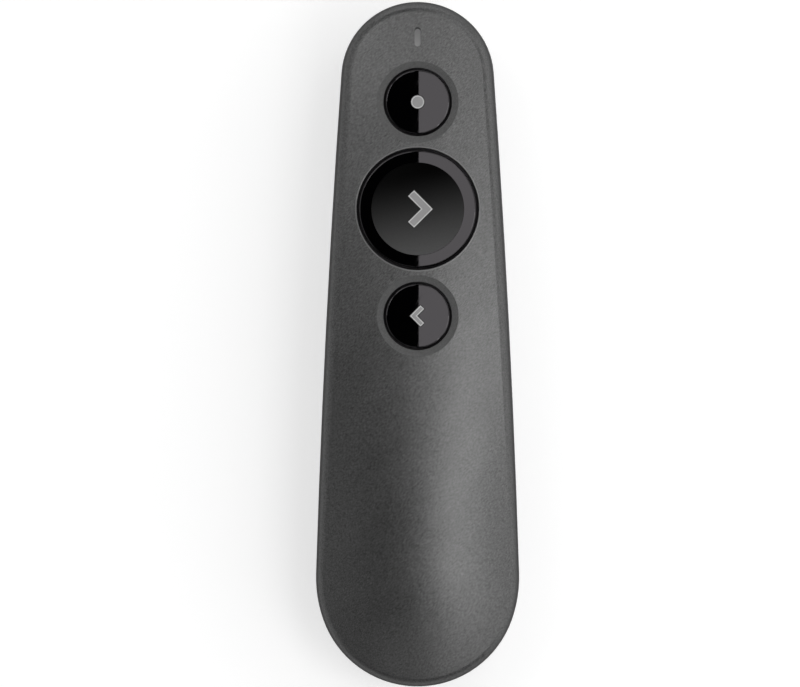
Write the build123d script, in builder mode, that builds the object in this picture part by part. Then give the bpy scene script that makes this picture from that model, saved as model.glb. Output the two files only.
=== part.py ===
from build123d import *

import os
from math import asin, atan2, cos, degrees, radians, sin, sqrt

# Hand-held wireless presentation clicker, in millimetres.
# X points right across the body, Y points along it to the nose with the laser, Z points up
# through the buttons. The origin is under the middle of the body, on the surface it lies on.

# ---------------------------------------------------------------- driving dimensions

# Whole body
body_length = 130.0
body_height = 27.0
parting_share = 5 / 9          # the shells meet at this share of the height
wall = 1.8                     # shell wall, the same everywhere
anchor_depth = 0.4             # how far ribs and bosses sink into the wall they stand on

# Plan outline: five tangent arcs, a small round head, long flanks and a wide tail
head_tip_radius = 14.8
head_radius = 14.45
head_tip_angle = 8.3
flank_radius = 2370.0
tail_radius = 24.25
tail_tip_radius = 19.0
tail_tip_angle = 70.4

# Side walls, top crown and belly
upper_draft = 1.5
lower_draft = 9.0
crown_peak_from_nose = 57.0
crown_radius = 900.0           # lengthwise arc of the top
crown_bend_from_tail = 22.0    # from here the top bends down to the tail
crown_bend_radius = 80.0
crown_sections = (
    (-1.12, 40.0), (-0.95, 40.0), (-0.78, 41.0), (-0.6, 43.0), (-0.3, 55.0),
    (0.0, 75.0), (0.25, 95.0), (0.5, 115.0), (0.8, 115.0), (1.12, 115.0),
)
#                 share of the half length, radius across the top there
belly_flat_from_tail = 15.0
belly_flat_from_nose = 74.0
belly_tail_radius = 60.0
belly_nose_radius = 560.0
top_edge_radius = 2.2
belly_edge_radius = 6.2

# Joint between the shells
seam_groove_depth = 0.3
seam_groove_height = 0.35
lip_inset = 1.0
lip_height = 1.1
lip_clearance = 0.05
bead_depth = 0.35              # snap beads on the lip, which click into the upper shell
bead_height = 0.5
bead_rise = 0.35               # above the parting plane
bead_length = 6.0
bead_play = 0.08
beads_from_nose = (12.0, 32.0)
beads_from_tail = 12.0

# Ribs under the top, behind the buttons
rib_thickness = 1.0
rib_drop = 5.5                 # lower edge below the crown
rib_pitch = 12.0
rib_count = 4
ribs_from_tail = 12.0

# Buttons
button_pitch = 20.25
next_button_from_nose = 39.4
small_cap_radius = 6.1
next_cap_radius = 11.1
small_hole_gap = 0.4           # between a cap and its hole, on the radius
next_hole_gap = 0.45
cap_sink = 0.3                 # cap top below the crown at the button's centre
cap_top_thickness = 1.2
cap_skirt_thickness = 1.1
cap_edge_radius = 0.3
flange_width = 1.25
flange_thickness = 0.8
flange_recess_gap = 0.3
seat_drop = 2.15               # from the crown down to the seat that the flange rests on
sink_width = 1.2               # sloping ring round each small button
sink_depth = 0.4
rim_radius = 0.15              # rounded rim of the middle button's hole
boss_pad_width = 0.9           # pad beyond the flange's recess
next_pad_radius = 8.75          # soft pad let into the middle button
next_pad_gap = 0.05
next_pad_thickness = 0.7       # at its middle
next_dish_depth = 0.95
press_travel = 0.6
stop_clearance = 0.15
pad_floor_thickness = 0.8      # cap left under the pad
stem_radius = 1.6
stem_guide_gap = 0.08

# Guide frame that holds the buttons up
frame_thickness = 1.3
frame_inset = 1.3              # inside the shell wall
frame_past_buttons = 8.7       # beyond the outer buttons' centres
stake_post_radius = 1.5
stake_pin_radius = 0.8
stake_pin_rise = 0.6           # pin below the frame
stake_offsets = ((9.5, -26.9), (10.3, -11.0), (10.0, 11.2), (8.4, 26.6))
#                 right or left of the middle, and from the middle button
guide_collar_wall = 1.1
guide_collar_height = 0.9      # above the frame

# Circuit board and what is on it
board_thickness = 1.2
board_rise = 0.4               # underside above the parting plane
board_gap = 0.6                # edge inside the shell wall
board_past_button = 9.8        # behind the last button's centre, or
board_past_cell = 9.15         # behind the front end of the cell's room, whichever is longer
board_over_trough = 0.5        # least room between the board and the trough
board_past_light = 2.2
board_post_radius = 2.0
board_screw_radius = 0.7
board_screw_head_radius = 1.5
board_screw_head_height = 0.9
board_screw_length = 4.5
board_rear_post = (9.6, 2.85)  # aside, and in front of the board's rear edge
board_front_post = (9.2, 24.4) # aside, and in front of the middle button
switch_side = 6.0
switch_corner = 0.4
switch_body_height = 3.1
switch_leg_width = 0.7
switch_leg_reach = 1.2
switch_leg_spread = 4.5
switch_leg_thickness = 0.3
plunger_radius = 1.5
plunger_rise = 1.0
plunger_depth = 0.9            # how far the plunger sits in the switch at rest
plunger_gap = 0.08
led_length = 3.0
led_width = 1.5
led_height = 0.9
chip_side = 5.0
chip_height = 0.9
crystal_length = 3.2
crystal_width = 2.5
crystal_height = 0.7
small_chip_length = 1.6
small_chip_width = 0.8
small_chip_height = 0.6
antenna_length = 5.0
antenna_width = 2.0
antenna_height = 1.1

# Status light pipe
light_from_nose = 6.8
light_width = 1.2
light_length = 3.7
light_recess = 0.15
light_flange = 0.7
light_flange_drop = 2.2        # flange below the outer crown
light_gap = 0.1                # above the lamp

# Laser module
laser_drop = 3.7               # laser's axis below the seam
laser_barrel_radius = 3.5
laser_barrel_length = 15.0
laser_barrel_from_nose = 3.8
laser_barrel_bevel = 0.4
laser_bore_radius = 2.2
laser_lens_thickness = 1.2
laser_lens_depth = 1.0
laser_exit_radius = 2.0
laser_window_radius = 2.9
laser_window_thickness = 0.9
laser_window_wall = 0.9        # wall left in front of the window at the nose
driver_board_width = 5.6
driver_board_length = 9.5
driver_board_thickness = 0.8
cradle_thickness = 1.4
cradle_width = 10.5
cradle_from_front = (3.7, 11.7)
lead_radius = 0.4
lead_climb = 5.0               # run over which the battery's lead climbs to the board
laser_lead_spread = 3.2
laser_lead_reach = 6.0
laser_lead_bend = 1.2

# Battery, one AAA cell lying along the body
cell_radius = 5.25
cell_length = 44.5             # with the nub
cell_nub_radius = 1.9
cell_nub_length = 0.8
cell_end_radius = 4.7
cell_end_length = 0.25
cell_rise = 0.25               # cell above the door's inner face
cell_gap = 0.25                # round the cell in its trough
trough_wall = 1.2
trough_from_tail = 20.4
spring_length = 3.6
spring_wire_radius = 0.3
spring_radius = 2.9
spring_turns = 3.0
contact_thickness = 0.3
contact_width = 7.6
contact_boss_radius = 2.4
contact_boss_height = 0.6
contact_tab_width = 2.2
contact_tab_rise = 0.5         # tail contact's tab above the trough

# Battery door and its well
door_half_width = 11.0
door_gap = 0.12
door_step_from_tail = 15.0     # behind this the door is as wide as the body
door_front_lap = 0.6           # door's front edge behind the cell room's front end
door_rear_height = 5.2
rail_height = 2.5              # top face of the lip that the rail slides on
rail_thickness = 0.75
rail_reach = 1.4
rail_gap = 0.08
rail_tail_gap = 1.4            # end of the rail in front of the door's step
rail_web = 1.5
well_plate = 1.1
bulkhead = 1.3
tongue_width = 9.0
tongue_thickness = 0.75
tongue_sink = 0.65             # tongue's underside below the door's inner face
tongue_reach = 2.6
tongue_root = 2.0
grip_count = 6
grip_pitch = 1.9
grip_groove_width = 0.9
grip_groove_length = 13.0
grip_groove_depth = 0.45
grip_from_front = 8.0

# Screws that hold the shells together, reached from inside the battery well
shell_screw_aside = 9.3
rear_screw_from_trough = 6.6   # in front of the tail end of the cell's room
front_screw_from_board = 4.95  # behind the board's rear edge
screw_post_radius = 3.0
screw_bore_radius = 2.1
screw_head_radius = 1.85
screw_head_height = 1.3
screw_shank_radius = 0.95
screw_hole_gap = 0.1
screw_web = 1.3
screw_post_top = 12.4
screw_length = 8.0
screw_recess_radius = 0.75
screw_recess_depth = 0.7
upper_boss_radius = 2.6

# Receiver that plugs into a computer, docked in the tail
receiver_height = 9.6          # centre line above the table
receiver_width = 14.3
receiver_thickness = 5.8
receiver_corner = 1.6
receiver_gap = 0.1
receiver_body_depth = 7.0      # its inner face from the tail
plug_width = 12.0
plug_thickness = 4.5
plug_length = 12.0
plug_sheet = 0.3
plug_corner = 0.5
plug_window = 2.2
plug_window_pitch = 5.4
plug_window_from_tip = 5.6
plug_tongue_thickness = 1.8
plug_tongue_back = 1.0
pin_width = 1.0
pin_length = 6.4
pin_thickness = 0.15
pin_pitch = 2.4
pin_from_tip = 0.8
dock_wall = 1.1
nail_groove_width = 9.0
nail_groove_height = 0.7
nail_groove_depth = 0.6
nail_groove_drop = 1.5         # below the top of the receiver's body

# ---------------------------------------------------------------- the outer form

nose_y = body_length / 2
tail_y = -body_length / 2
parting_height = body_height * parting_share
crown_peak_y = nose_y - crown_peak_from_nose
next_button_y = nose_y - next_button_from_nose
laser_button_y = next_button_y + button_pitch
back_button_y = next_button_y - button_pitch
seam_reach = 2 * tail_tip_radius + body_height   # wider than the body anywhere


def crown_height(y):
    """Height of the top along the middle of the body."""
    past_bend = max(0.0, tail_y + crown_bend_from_tail - y)
    return body_height - (y - crown_peak_y) ** 2 / (2 * crown_radius) - past_bend**2 / (2 * crown_bend_radius)


def bearing(start, end):
    """Direction in degrees from one point in the plan to another."""
    return degrees(atan2(end.Y - start.Y, end.X - start.X))


def arc_centres():
    """Centres of the right-hand arcs of the plan outline, from nose to tail."""
    head_tip = Vector(0, nose_y - head_tip_radius)
    tail_tip = Vector(0, tail_y + tail_tip_radius)
    head_lean, tail_lean = radians(head_tip_angle), radians(tail_tip_angle)
    head = head_tip + Vector(sin(head_lean), cos(head_lean)) * (head_tip_radius - head_radius)
    tail = tail_tip + Vector(sin(tail_lean), -cos(tail_lean)) * (tail_tip_radius - tail_radius)
    # The flank touches both circles from inside, so its centre is at known distances from theirs.
    span = head - tail
    to_head, to_tail = flank_radius - head_radius, flank_radius - tail_radius
    along = (span.length**2 + to_tail**2 - to_head**2) / (2 * span.length)
    aside = sqrt(to_tail**2 - along**2)
    unit = span.normalized()
    flank = tail + unit * along + Vector(-unit.Y, unit.X) * aside
    return head_tip, head, flank, tail, tail_tip


def plan_outline(inset):
    """Outline of the body seen from above, a constant distance inside the outer one."""
    head_tip, head, flank, tail, tail_tip = arc_centres()
    flank_start, flank_end = bearing(flank, tail), bearing(flank, head)
    with BuildSketch() as plan:
        with BuildLine():
            CenterArc(head_tip, head_tip_radius - inset, 90 - head_tip_angle, 2 * head_tip_angle)
            CenterArc(tail_tip, tail_tip_radius - inset, 270 - tail_tip_angle, 2 * tail_tip_angle)
            right_side = (
                (head, head_radius, flank_end, 90 - head_tip_angle),
                (flank, flank_radius, flank_start, flank_end),
                (tail, tail_radius, tail_tip_angle - 90, flank_start),
            )
            for centre, radius, start, end in right_side:
                CenterArc(centre, radius - inset, start, end - start)
                CenterArc((-centre.X, centre.Y), radius - inset, 180 - start, start - end)
        make_face()
    return plan.sketch


def body_form(inset):
    """The whole body as one solid, a constant distance inside the outer surface."""
    reach = seam_reach / 2
    with BuildPart() as crown:
        for share, radius in crown_sections:
            y = share * nose_y
            peak = crown_height(y) - inset
            edge = peak - (radius - inset) + sqrt((radius - inset) ** 2 - reach**2)
            with BuildSketch(Plane.XZ.offset(-y)):
                with BuildLine():
                    ThreePointArc((-reach, edge), (0, peak), (reach, edge))
                    Polyline((reach, edge), (reach, -reach), (-reach, -reach), (-reach, edge))
                make_face()
        loft()
    with BuildPart() as belly:
        with BuildSketch(Plane.YZ):
            with BuildLine():
                flat = Line((tail_y + belly_flat_from_tail, inset), (nose_y - belly_flat_from_nose, inset))
                nose_sweep = degrees(asin(1.1 * belly_flat_from_nose / belly_nose_radius))
                tail_sweep = degrees(asin(1.6 * belly_flat_from_tail / belly_tail_radius))
                nose = JernArc(flat @ 1, (1, 0), belly_nose_radius - inset, nose_sweep)
                tail = JernArc(flat @ 0, (-1, 0), belly_tail_radius - inset, -tail_sweep)
                above = 1.5 * body_height
                Polyline(nose @ 1, ((nose @ 1).X, above), ((tail @ 1).X, above), tail @ 1)
            make_face()
        extrude(amount=reach, both=True)
    with BuildPart() as form:
        with BuildSketch(Plane.XY.offset(parting_height)):
            add(plan_outline(inset))
        extrude(amount=body_height, taper=upper_draft)
        with BuildSketch(Plane.XY.offset(parting_height)):
            add(plan_outline(inset))
        extrude(amount=-1.2 * parting_height, taper=lower_draft)
        add(crown.part, mode=Mode.INTERSECT)
        add(belly.part, mode=Mode.INTERSECT)
        fillet(form.faces().sort_by(Axis.Z)[-1].edges(), top_edge_radius - inset)
        underside = form.faces().filter_by(lambda face: face.normal_at().Z < -0.9)
        belly_rim = underside.edges().filter_by(lambda edge: abs((edge % 0.5).X) < 0.999)
        fillet(belly_rim, belly_edge_radius - inset)
    return form.part


outer_form = body_form(0)
cavity_form = body_form(wall)
anchor_form = body_form(wall - anchor_depth)

# ---------------------------------------------------------------- levels and places

# The battery well from the table up
door_inner = wall
cell_bottom = door_inner + cell_rise
cell_axis = cell_bottom + cell_radius
trough_radius = cell_radius + cell_gap
trough_top = cell_axis + trough_radius + trough_wall
well_ceiling = rail_height + rail_thickness + 2 * rail_gap
well_plate_top = well_ceiling + well_plate
trough_tail_y = tail_y + trough_from_tail
cell_tail = trough_tail_y + contact_thickness + spring_length
cell_nose = cell_tail + cell_length
trough_nose_y = cell_nose + contact_boss_height + contact_thickness
door_step_y = tail_y + door_step_from_tail
door_front_y = trough_nose_y - door_front_lap
rail_tail_y = door_step_y + rail_tail_gap
tongue_bottom = door_inner - tongue_sink
channel_half_width = door_half_width + rail_reach + rail_gap
screw_seat = screw_post_top - screw_web

# The board lies over the seam, and its rear edge over the contact at the cell's front end
board_bottom = max(parting_height + board_rise, trough_top + board_over_trough)
board_top = board_bottom + board_thickness
board_tail_y = min(back_button_y - board_past_button, trough_nose_y - board_past_cell)
light_y = nose_y - light_from_nose
board_nose_y = light_y + board_past_light
board_post_places = [
    (board_rear_post[0], board_tail_y + board_rear_post[1]),
    (board_front_post[0], next_button_y + board_front_post[1]),
]
shell_screw_places = [
    (shell_screw_aside, trough_tail_y + rear_screw_from_trough),
    (shell_screw_aside, board_tail_y - front_screw_from_board),
]
switch_top = board_top + switch_body_height
plunger_top = switch_top + plunger_rise

# Each button: place along the body, cap radius and the gap round it.
small_flange_radius = small_cap_radius + flange_width
next_flange_radius = next_cap_radius + flange_width
buttons = (
    (laser_button_y, small_cap_radius, small_hole_gap, small_flange_radius),
    (next_button_y, next_cap_radius, next_hole_gap, next_flange_radius),
    (back_button_y, small_cap_radius, small_hole_gap, small_flange_radius),
)


def seat_height(y):
    """Level of the flat seat under the top that a button's flange rests against."""
    return crown_height(y) - seat_drop


lowest_flange = min(seat_height(y) for y, *_ in buttons) - flange_thickness
frame_top = lowest_flange - press_travel - stop_clearance
frame_bottom = frame_top - frame_thickness
frame_tail_y = back_button_y - frame_past_buttons
frame_nose_y = laser_button_y + frame_past_buttons
stake_places = [(x, next_button_y + y) for x, y in stake_offsets]
laser_height = parting_height - laser_drop
laser_barrel_front_y = nose_y - laser_barrel_from_nose

# The dock from the outside in
dock_width = receiver_width + 2 * receiver_gap
dock_thickness = receiver_thickness + 2 * receiver_gap
receiver_body_end_y = tail_y + receiver_body_depth
plug_tip_y = receiver_body_end_y + plug_length
dock_end_y = plug_tip_y + 0.4
dock_floor = door_rear_height + door_gap

# ---------------------------------------------------------------- lower shell


def arch(radius, foot):
    """Upright tunnel section round the cell: straight sides from the foot, round on top."""
    with BuildSketch(Plane.XZ) as section:
        with BuildLine():
            crown_arc = CenterArc((0, cell_axis), radius, 0, 180)
            Polyline(crown_arc @ 1, (-radius, foot), (radius, foot), crown_arc @ 0)
        make_face()
    return section.sketch


bead_places = [nose_y - y for y in beads_from_nose] + [tail_y + beads_from_tail]


def bead_outline(y, length, play):
    """A pair of snap beads seen from above, or with some play the pockets that they click into."""
    with BuildSketch() as beads:
        add(plan_outline(lip_inset - bead_depth - play))
        add(plan_outline(wall), mode=Mode.SUBTRACT)
        with Locations((0, y)):
            Rectangle(seam_reach, length + 2 * play, mode=Mode.INTERSECT)
    return beads.sketch


# Walls, plates and posts that stand inside the lower shell, before its openings are cut
with BuildPart() as lower_ribs:
    # Solid band along both sides of the door that carries the rails, and the plate above the door
    with BuildSketch(Plane.XY.offset(wall / 2)):
        with Locations((0, (door_step_y + trough_nose_y + bulkhead) / 2)):
            Rectangle(2 * (channel_half_width + bulkhead), trough_nose_y + bulkhead - door_step_y)
    extrude(amount=well_plate_top - wall / 2)
    # Cross wall where the door widens, and the plate over the wide end of the door
    with BuildSketch(Plane.XY.offset(wall / 2)):
        with Locations((0, door_step_y + bulkhead / 2)):
            Rectangle(seam_reach, bulkhead)
    extrude(amount=dock_floor + dock_wall - wall / 2)
    with BuildSketch(Plane.XY.offset(dock_floor)):
        with Locations((0, (door_step_y + bulkhead + tail_y) / 2)):
            Rectangle(seam_reach, door_step_y + bulkhead - tail_y)
    extrude(amount=dock_wall)
    # Block round the docked receiver
    with BuildSketch(Plane.XY.offset(dock_floor)):
        with Locations((0, (dock_end_y + dock_wall + tail_y) / 2)):
            Rectangle(dock_width + 2 * dock_wall, dock_end_y + dock_wall - tail_y)
    extrude(amount=receiver_height + dock_thickness / 2 + dock_wall - dock_floor)
    # Tunnel round the cell, closed at both ends
    with BuildSketch(Plane.XZ.offset(-(trough_nose_y + bulkhead))):
        add(arch(trough_radius + trough_wall, well_ceiling))
    extrude(amount=trough_nose_y + 2 * bulkhead - trough_tail_y)
    # Posts for the screws between the shells and for the circuit board
    for x, y in shell_screw_places:
        with BuildSketch(Plane.XY.offset(well_ceiling)):
            with Locations((x, y), (-x, y)):
                Circle(screw_post_radius)
        extrude(amount=screw_post_top - well_ceiling)
    for x, y in board_post_places:
        post_foot = wall / 2 if y > trough_nose_y else well_ceiling
        with BuildSketch(Plane.XY.offset(post_foot)):
            with Locations((x, y), (-x, y)):
                Circle(board_post_radius)
        extrude(amount=board_bottom - post_foot)
    # Two saddles that the laser barrel lies in
    for back in cradle_from_front:
        with BuildSketch(Plane.XZ.offset(back - cradle_thickness / 2 - laser_barrel_front_y)):
            with Locations((0, laser_height / 2)):
                Rectangle(cradle_width, laser_height)
            with Locations((0, laser_height)):
                Circle(laser_barrel_radius, mode=Mode.SUBTRACT)
        extrude(amount=cradle_thickness)
    add(anchor_form, mode=Mode.INTERSECT)

with BuildPart() as bottom_shell:
    add(outer_form)
    add(cavity_form, mode=Mode.SUBTRACT)
    split(bisect_by=Plane.XY.offset(parting_height), keep=Keep.BOTTOM)
    # Narrow shadow groove along the seam, and the lip that locates the upper shell
    with BuildSketch(Plane.XY.offset(parting_height)):
        add(plan_outline(-seam_groove_depth))
        add(plan_outline(seam_groove_depth), mode=Mode.SUBTRACT)
    extrude(amount=-seam_groove_height, mode=Mode.SUBTRACT)
    with BuildSketch(Plane.XY.offset(parting_height)):
        add(plan_outline(lip_inset))
        add(plan_outline(wall), mode=Mode.SUBTRACT)
    extrude(amount=lip_height)
    for y in bead_places:
        with BuildSketch(Plane.XY.offset(parting_height + bead_rise)):
            add(bead_outline(y, bead_length, 0))
        extrude(amount=bead_height)
    add(lower_ribs.part)
    # Opening for the door: narrow along the belly, as wide as the body at the tail
    with BuildSketch(Plane.XY.offset(-1)):
        with Locations((0, (door_front_y + door_step_y) / 2)):
            Rectangle(2 * door_half_width, door_front_y - door_step_y)
    extrude(amount=well_ceiling + 1, mode=Mode.SUBTRACT)
    with BuildSketch(Plane.XY.offset(-1)):
        with Locations((0, door_step_y - body_length / 2)):
            Rectangle(seam_reach, body_length)
    extrude(amount=dock_floor + 1, mode=Mode.SUBTRACT)
    # Channels that the door's rails slide in, open at the tail
    with BuildSketch(Plane.XY.offset(rail_height)):
        with Locations((0, (door_front_y + door_step_y) / 2)):
            Rectangle(2 * channel_half_width, door_front_y - door_step_y)
    extrude(amount=well_ceiling - rail_height, mode=Mode.SUBTRACT)
    # Pocket for the tongue at the door's front edge
    with BuildSketch(Plane.XY.offset(tongue_bottom - door_gap / 2)):
        with Locations((0, door_front_y + tongue_reach / 2)):
            Rectangle(tongue_width + 2 * door_gap, tongue_reach + 2 * door_gap)
    extrude(amount=tongue_thickness + door_gap, mode=Mode.SUBTRACT)
    # The room for the cell, the contacts and their tabs
    with BuildSketch(Plane.XZ.offset(-trough_nose_y)):
        add(arch(trough_radius, well_ceiling - 1))
    extrude(amount=trough_nose_y - trough_tail_y, mode=Mode.SUBTRACT)
    with BuildSketch(Plane.XY.offset(cell_axis)):
        with Locations(
            (0, trough_tail_y + contact_thickness / 2),
            (0, trough_nose_y - contact_thickness / 2),
        ):
            Rectangle(contact_tab_width + 0.2, contact_thickness)
    extrude(amount=trough_top - cell_axis + 1, mode=Mode.SUBTRACT)
    # Deep bores for the screws between the shells
    for x, y in shell_screw_places:
        with BuildSketch(Plane.XY.offset(well_ceiling - 1)):
            with Locations((x, y), (-x, y)):
                Circle(screw_bore_radius)
        extrude(amount=screw_seat - well_ceiling + 1, mode=Mode.SUBTRACT)
        with BuildSketch(Plane.XY.offset(screw_seat)):
            with Locations((x, y), (-x, y)):
                Circle(screw_shank_radius + screw_hole_gap)
        extrude(amount=screw_web, mode=Mode.SUBTRACT)
    for x, y in board_post_places:
        with BuildSketch(Plane.XY.offset(board_bottom)):
            with Locations((x, y), (-x, y)):
                Circle(board_screw_radius)
        extrude(amount=-board_screw_length, mode=Mode.SUBTRACT)
    # The dock: a wide mouth for the receiver's body and a narrower room for its plug
    with BuildSketch(Plane.XZ.offset(-receiver_body_end_y)):
        with Locations((0, receiver_height)):
            RectangleRounded(dock_width, dock_thickness, receiver_corner + receiver_gap)
    extrude(amount=2 * receiver_body_depth, mode=Mode.SUBTRACT)
    with BuildSketch(Plane.XZ.offset(-dock_end_y)):
        with Locations((0, receiver_height)):
            Rectangle(plug_width + 2 * receiver_gap, plug_thickness + 2 * receiver_gap)
    extrude(amount=dock_end_y - receiver_body_end_y, mode=Mode.SUBTRACT)
    # The laser's exit in the nose, with a stepped seat for its window
    nose_at_laser = nose_y - laser_drop * sin(radians(lower_draft))
    with BuildSketch(Plane.XZ.offset(-laser_barrel_front_y)):
        with Locations((0, laser_height)):
            Circle(laser_exit_radius)
    extrude(amount=-2 * laser_barrel_from_nose, mode=Mode.SUBTRACT)
    window_face_y = nose_at_laser - laser_window_wall
    with BuildSketch(Plane.XZ.offset(-window_face_y)):
        with Locations((0, laser_height)):
            Circle(laser_window_radius)
    extrude(amount=window_face_y - laser_barrel_front_y, mode=Mode.SUBTRACT)
bottom_shell.part.label = "bottom_shell"

# ---------------------------------------------------------------- upper shell

with BuildPart() as upper_bosses:
    # Pads that give every button's flange a flat seat
    for y, cap_radius, gap, flange_radius in buttons:
        with BuildSketch(Plane.XY.offset(seat_height(y))):
            with Locations((0, y)):
                Circle(flange_radius + flange_recess_gap + boss_pad_width)
        extrude(amount=seat_drop)
    # Posts that carry the guide frame, with pins through it
    for x, y in stake_places:
        with BuildSketch(Plane.XY.offset(frame_top)):
            with Locations((x, y), (-x, y)):
                Circle(stake_post_radius)
        extrude(amount=body_height - frame_top)
        with BuildSketch(Plane.XY.offset(frame_bottom - stake_pin_rise)):
            with Locations((x, y), (-x, y)):
                Circle(stake_pin_radius)
        extrude(amount=frame_thickness + 2 * stake_pin_rise)
    # Bosses that take the screws from below
    for x, y in shell_screw_places:
        with BuildSketch(Plane.XY.offset(screw_post_top)):
            with Locations((x, y), (-x, y)):
                Circle(upper_boss_radius)
        extrude(amount=body_height - screw_post_top)
    # Ribs across the shell and one along its middle
    rib_run = rib_pitch * (rib_count - 1)
    first_rib_y = tail_y + ribs_from_tail
    with BuildSketch(Plane.XY.offset(crown_height(first_rib_y) - rib_drop)):
        with Locations((0, first_rib_y + rib_run / 2)):
            with GridLocations(1, rib_pitch, 1, rib_count):
                Rectangle(seam_reach, rib_thickness)
            Rectangle(rib_thickness, rib_run)
    extrude(amount=body_height)
    add(anchor_form, mode=Mode.INTERSECT)
    for x, y in shell_screw_places:
        with BuildSketch(Plane.XY.offset(screw_post_top)):
            with Locations((x, y), (-x, y)):
                Circle(screw_shank_radius)
        extrude(amount=screw_length - screw_web / 2, mode=Mode.SUBTRACT)

with BuildPart() as top_shell:
    add(outer_form)
    add(cavity_form, mode=Mode.SUBTRACT)
    split(bisect_by=Plane.XY.offset(parting_height), keep=Keep.TOP)
    with BuildSketch(Plane.XY.offset(parting_height)):
        add(plan_outline(lip_inset - lip_clearance))
    extrude(amount=lip_height + lip_clearance, mode=Mode.SUBTRACT)
    for y in bead_places:
        with BuildSketch(Plane.XY.offset(parting_height + bead_rise - bead_play)):
            add(bead_outline(y, bead_length, bead_play))
        extrude(amount=bead_height + 2 * bead_play, mode=Mode.SUBTRACT)
    add(upper_bosses.part)
    for y, cap_radius, gap, flange_radius in buttons:
        hole_radius = cap_radius + gap
        with BuildSketch(Plane.XY.offset(seat_height(y))):
            with Locations((0, y)):
                Circle(flange_radius + flange_recess_gap)
        extrude(amount=frame_top - seat_height(y), mode=Mode.SUBTRACT)
        with BuildSketch(Plane.XY.offset(seat_height(y))):
            with Locations((0, y)):
                Circle(hole_radius)
        extrude(amount=seat_drop + 2, mode=Mode.SUBTRACT)
    # Sloping ring that sinks the crown down to each small cap, and a soft rim on the large hole
    for y, cap_radius, gap, flange_radius in buttons:
        hole_radius = cap_radius + gap
        rim = (
            top_shell.edges()
            .filter_by(lambda edge: abs(edge.center(CenterOf.BOUNDING_BOX).Y - y) < 0.5)
            .filter_by(lambda edge: abs(edge.bounding_box().size.X - 2 * hole_radius) < 0.1)
            .sort_by(Axis.Z)[-1]
        )
        if cap_radius == small_cap_radius:
            face = [
                face for face in top_shell.faces()
                if face.normal_at().Z > 0.5 and any(rim.is_same(edge) for edge in face.edges())
            ][0]
            chamfer(rim, length=sink_width, length2=sink_depth, reference=face)
        else:
            fillet(rim, rim_radius)
    # Slot for the status light
    with BuildSketch(Plane.XY.offset(board_top)):
        with Locations((0, light_y)):
            SlotOverall(light_length, light_width, rotation=90)
    extrude(amount=body_height - board_top, mode=Mode.SUBTRACT)
top_shell.part.label = "top_shell"

# ---------------------------------------------------------------- buttons


def button_cap(y, cap_radius, flange_radius, pocket_radius=0, pocket_depth=0):
    """Hollow cap with a flange round its foot and a stem, and if asked a flat pocket for a pad."""
    seat = seat_height(y)
    top = crown_height(y) - cap_sink
    foot = seat - flange_thickness
    under = top - max(cap_top_thickness, pocket_depth + pad_floor_thickness)
    inner_radius = cap_radius - cap_skirt_thickness
    with BuildPart() as cap:
        with BuildSketch(Plane.XZ.offset(-y)):
            with BuildLine():
                Polyline(
                    (0, top),
                    (cap_radius, top),
                    (cap_radius, seat),
                    (flange_radius, seat),
                    (flange_radius, foot),
                    (inner_radius, foot),
                    (inner_radius, under),
                    (stem_radius, under),
                    (stem_radius, plunger_top),
                    (0, plunger_top),
                    close=True,
                )
            make_face()
        revolve(axis=Axis((0, y, 0), (0, 0, 1)))
        fillet(cap.edges().group_by(Axis.Z)[-1], cap_edge_radius)
        if pocket_depth:
            with BuildSketch(Plane.XY.offset(top)):
                with Locations((0, y)):
                    Circle(pocket_radius)
            extrude(amount=-pocket_depth, mode=Mode.SUBTRACT)
    return cap.part


with BuildPart() as laser_button:
    add(button_cap(laser_button_y, small_cap_radius, small_flange_radius))
laser_button.part.label = "laser_button"

pad_pocket_depth = next_dish_depth + next_pad_thickness
pad_pocket_radius = next_pad_radius + next_pad_gap
with BuildPart() as next_button:
    add(button_cap(next_button_y, next_cap_radius, next_flange_radius, pad_pocket_radius, pad_pocket_depth))
next_button.part.label = "next_button"

# Soft pad in the middle button, hollowed like a ball's print
with BuildPart() as next_pad:
    pad_rim = crown_height(next_button_y) - cap_sink
    pad_middle = pad_rim - next_dish_depth
    pad_ball = (next_pad_radius**2 + next_dish_depth**2) / (2 * next_dish_depth)
    with BuildSketch(Plane.XZ.offset(-next_button_y)):
        with BuildLine():
            Polyline(
                (0, pad_middle),
                (0, pad_rim - pad_pocket_depth),
                (next_pad_radius, pad_rim - pad_pocket_depth),
                (next_pad_radius, pad_rim),
            )
            RadiusArc((0, pad_middle), (next_pad_radius, pad_rim), -pad_ball)
        make_face()
    revolve(axis=Axis((0, next_button_y, 0), (0, 0, 1)))
next_pad.part.label = "next_pad"

with BuildPart() as back_button:
    add(button_cap(back_button_y, small_cap_radius, small_flange_radius))
back_button.part.label = "back_button"

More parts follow.
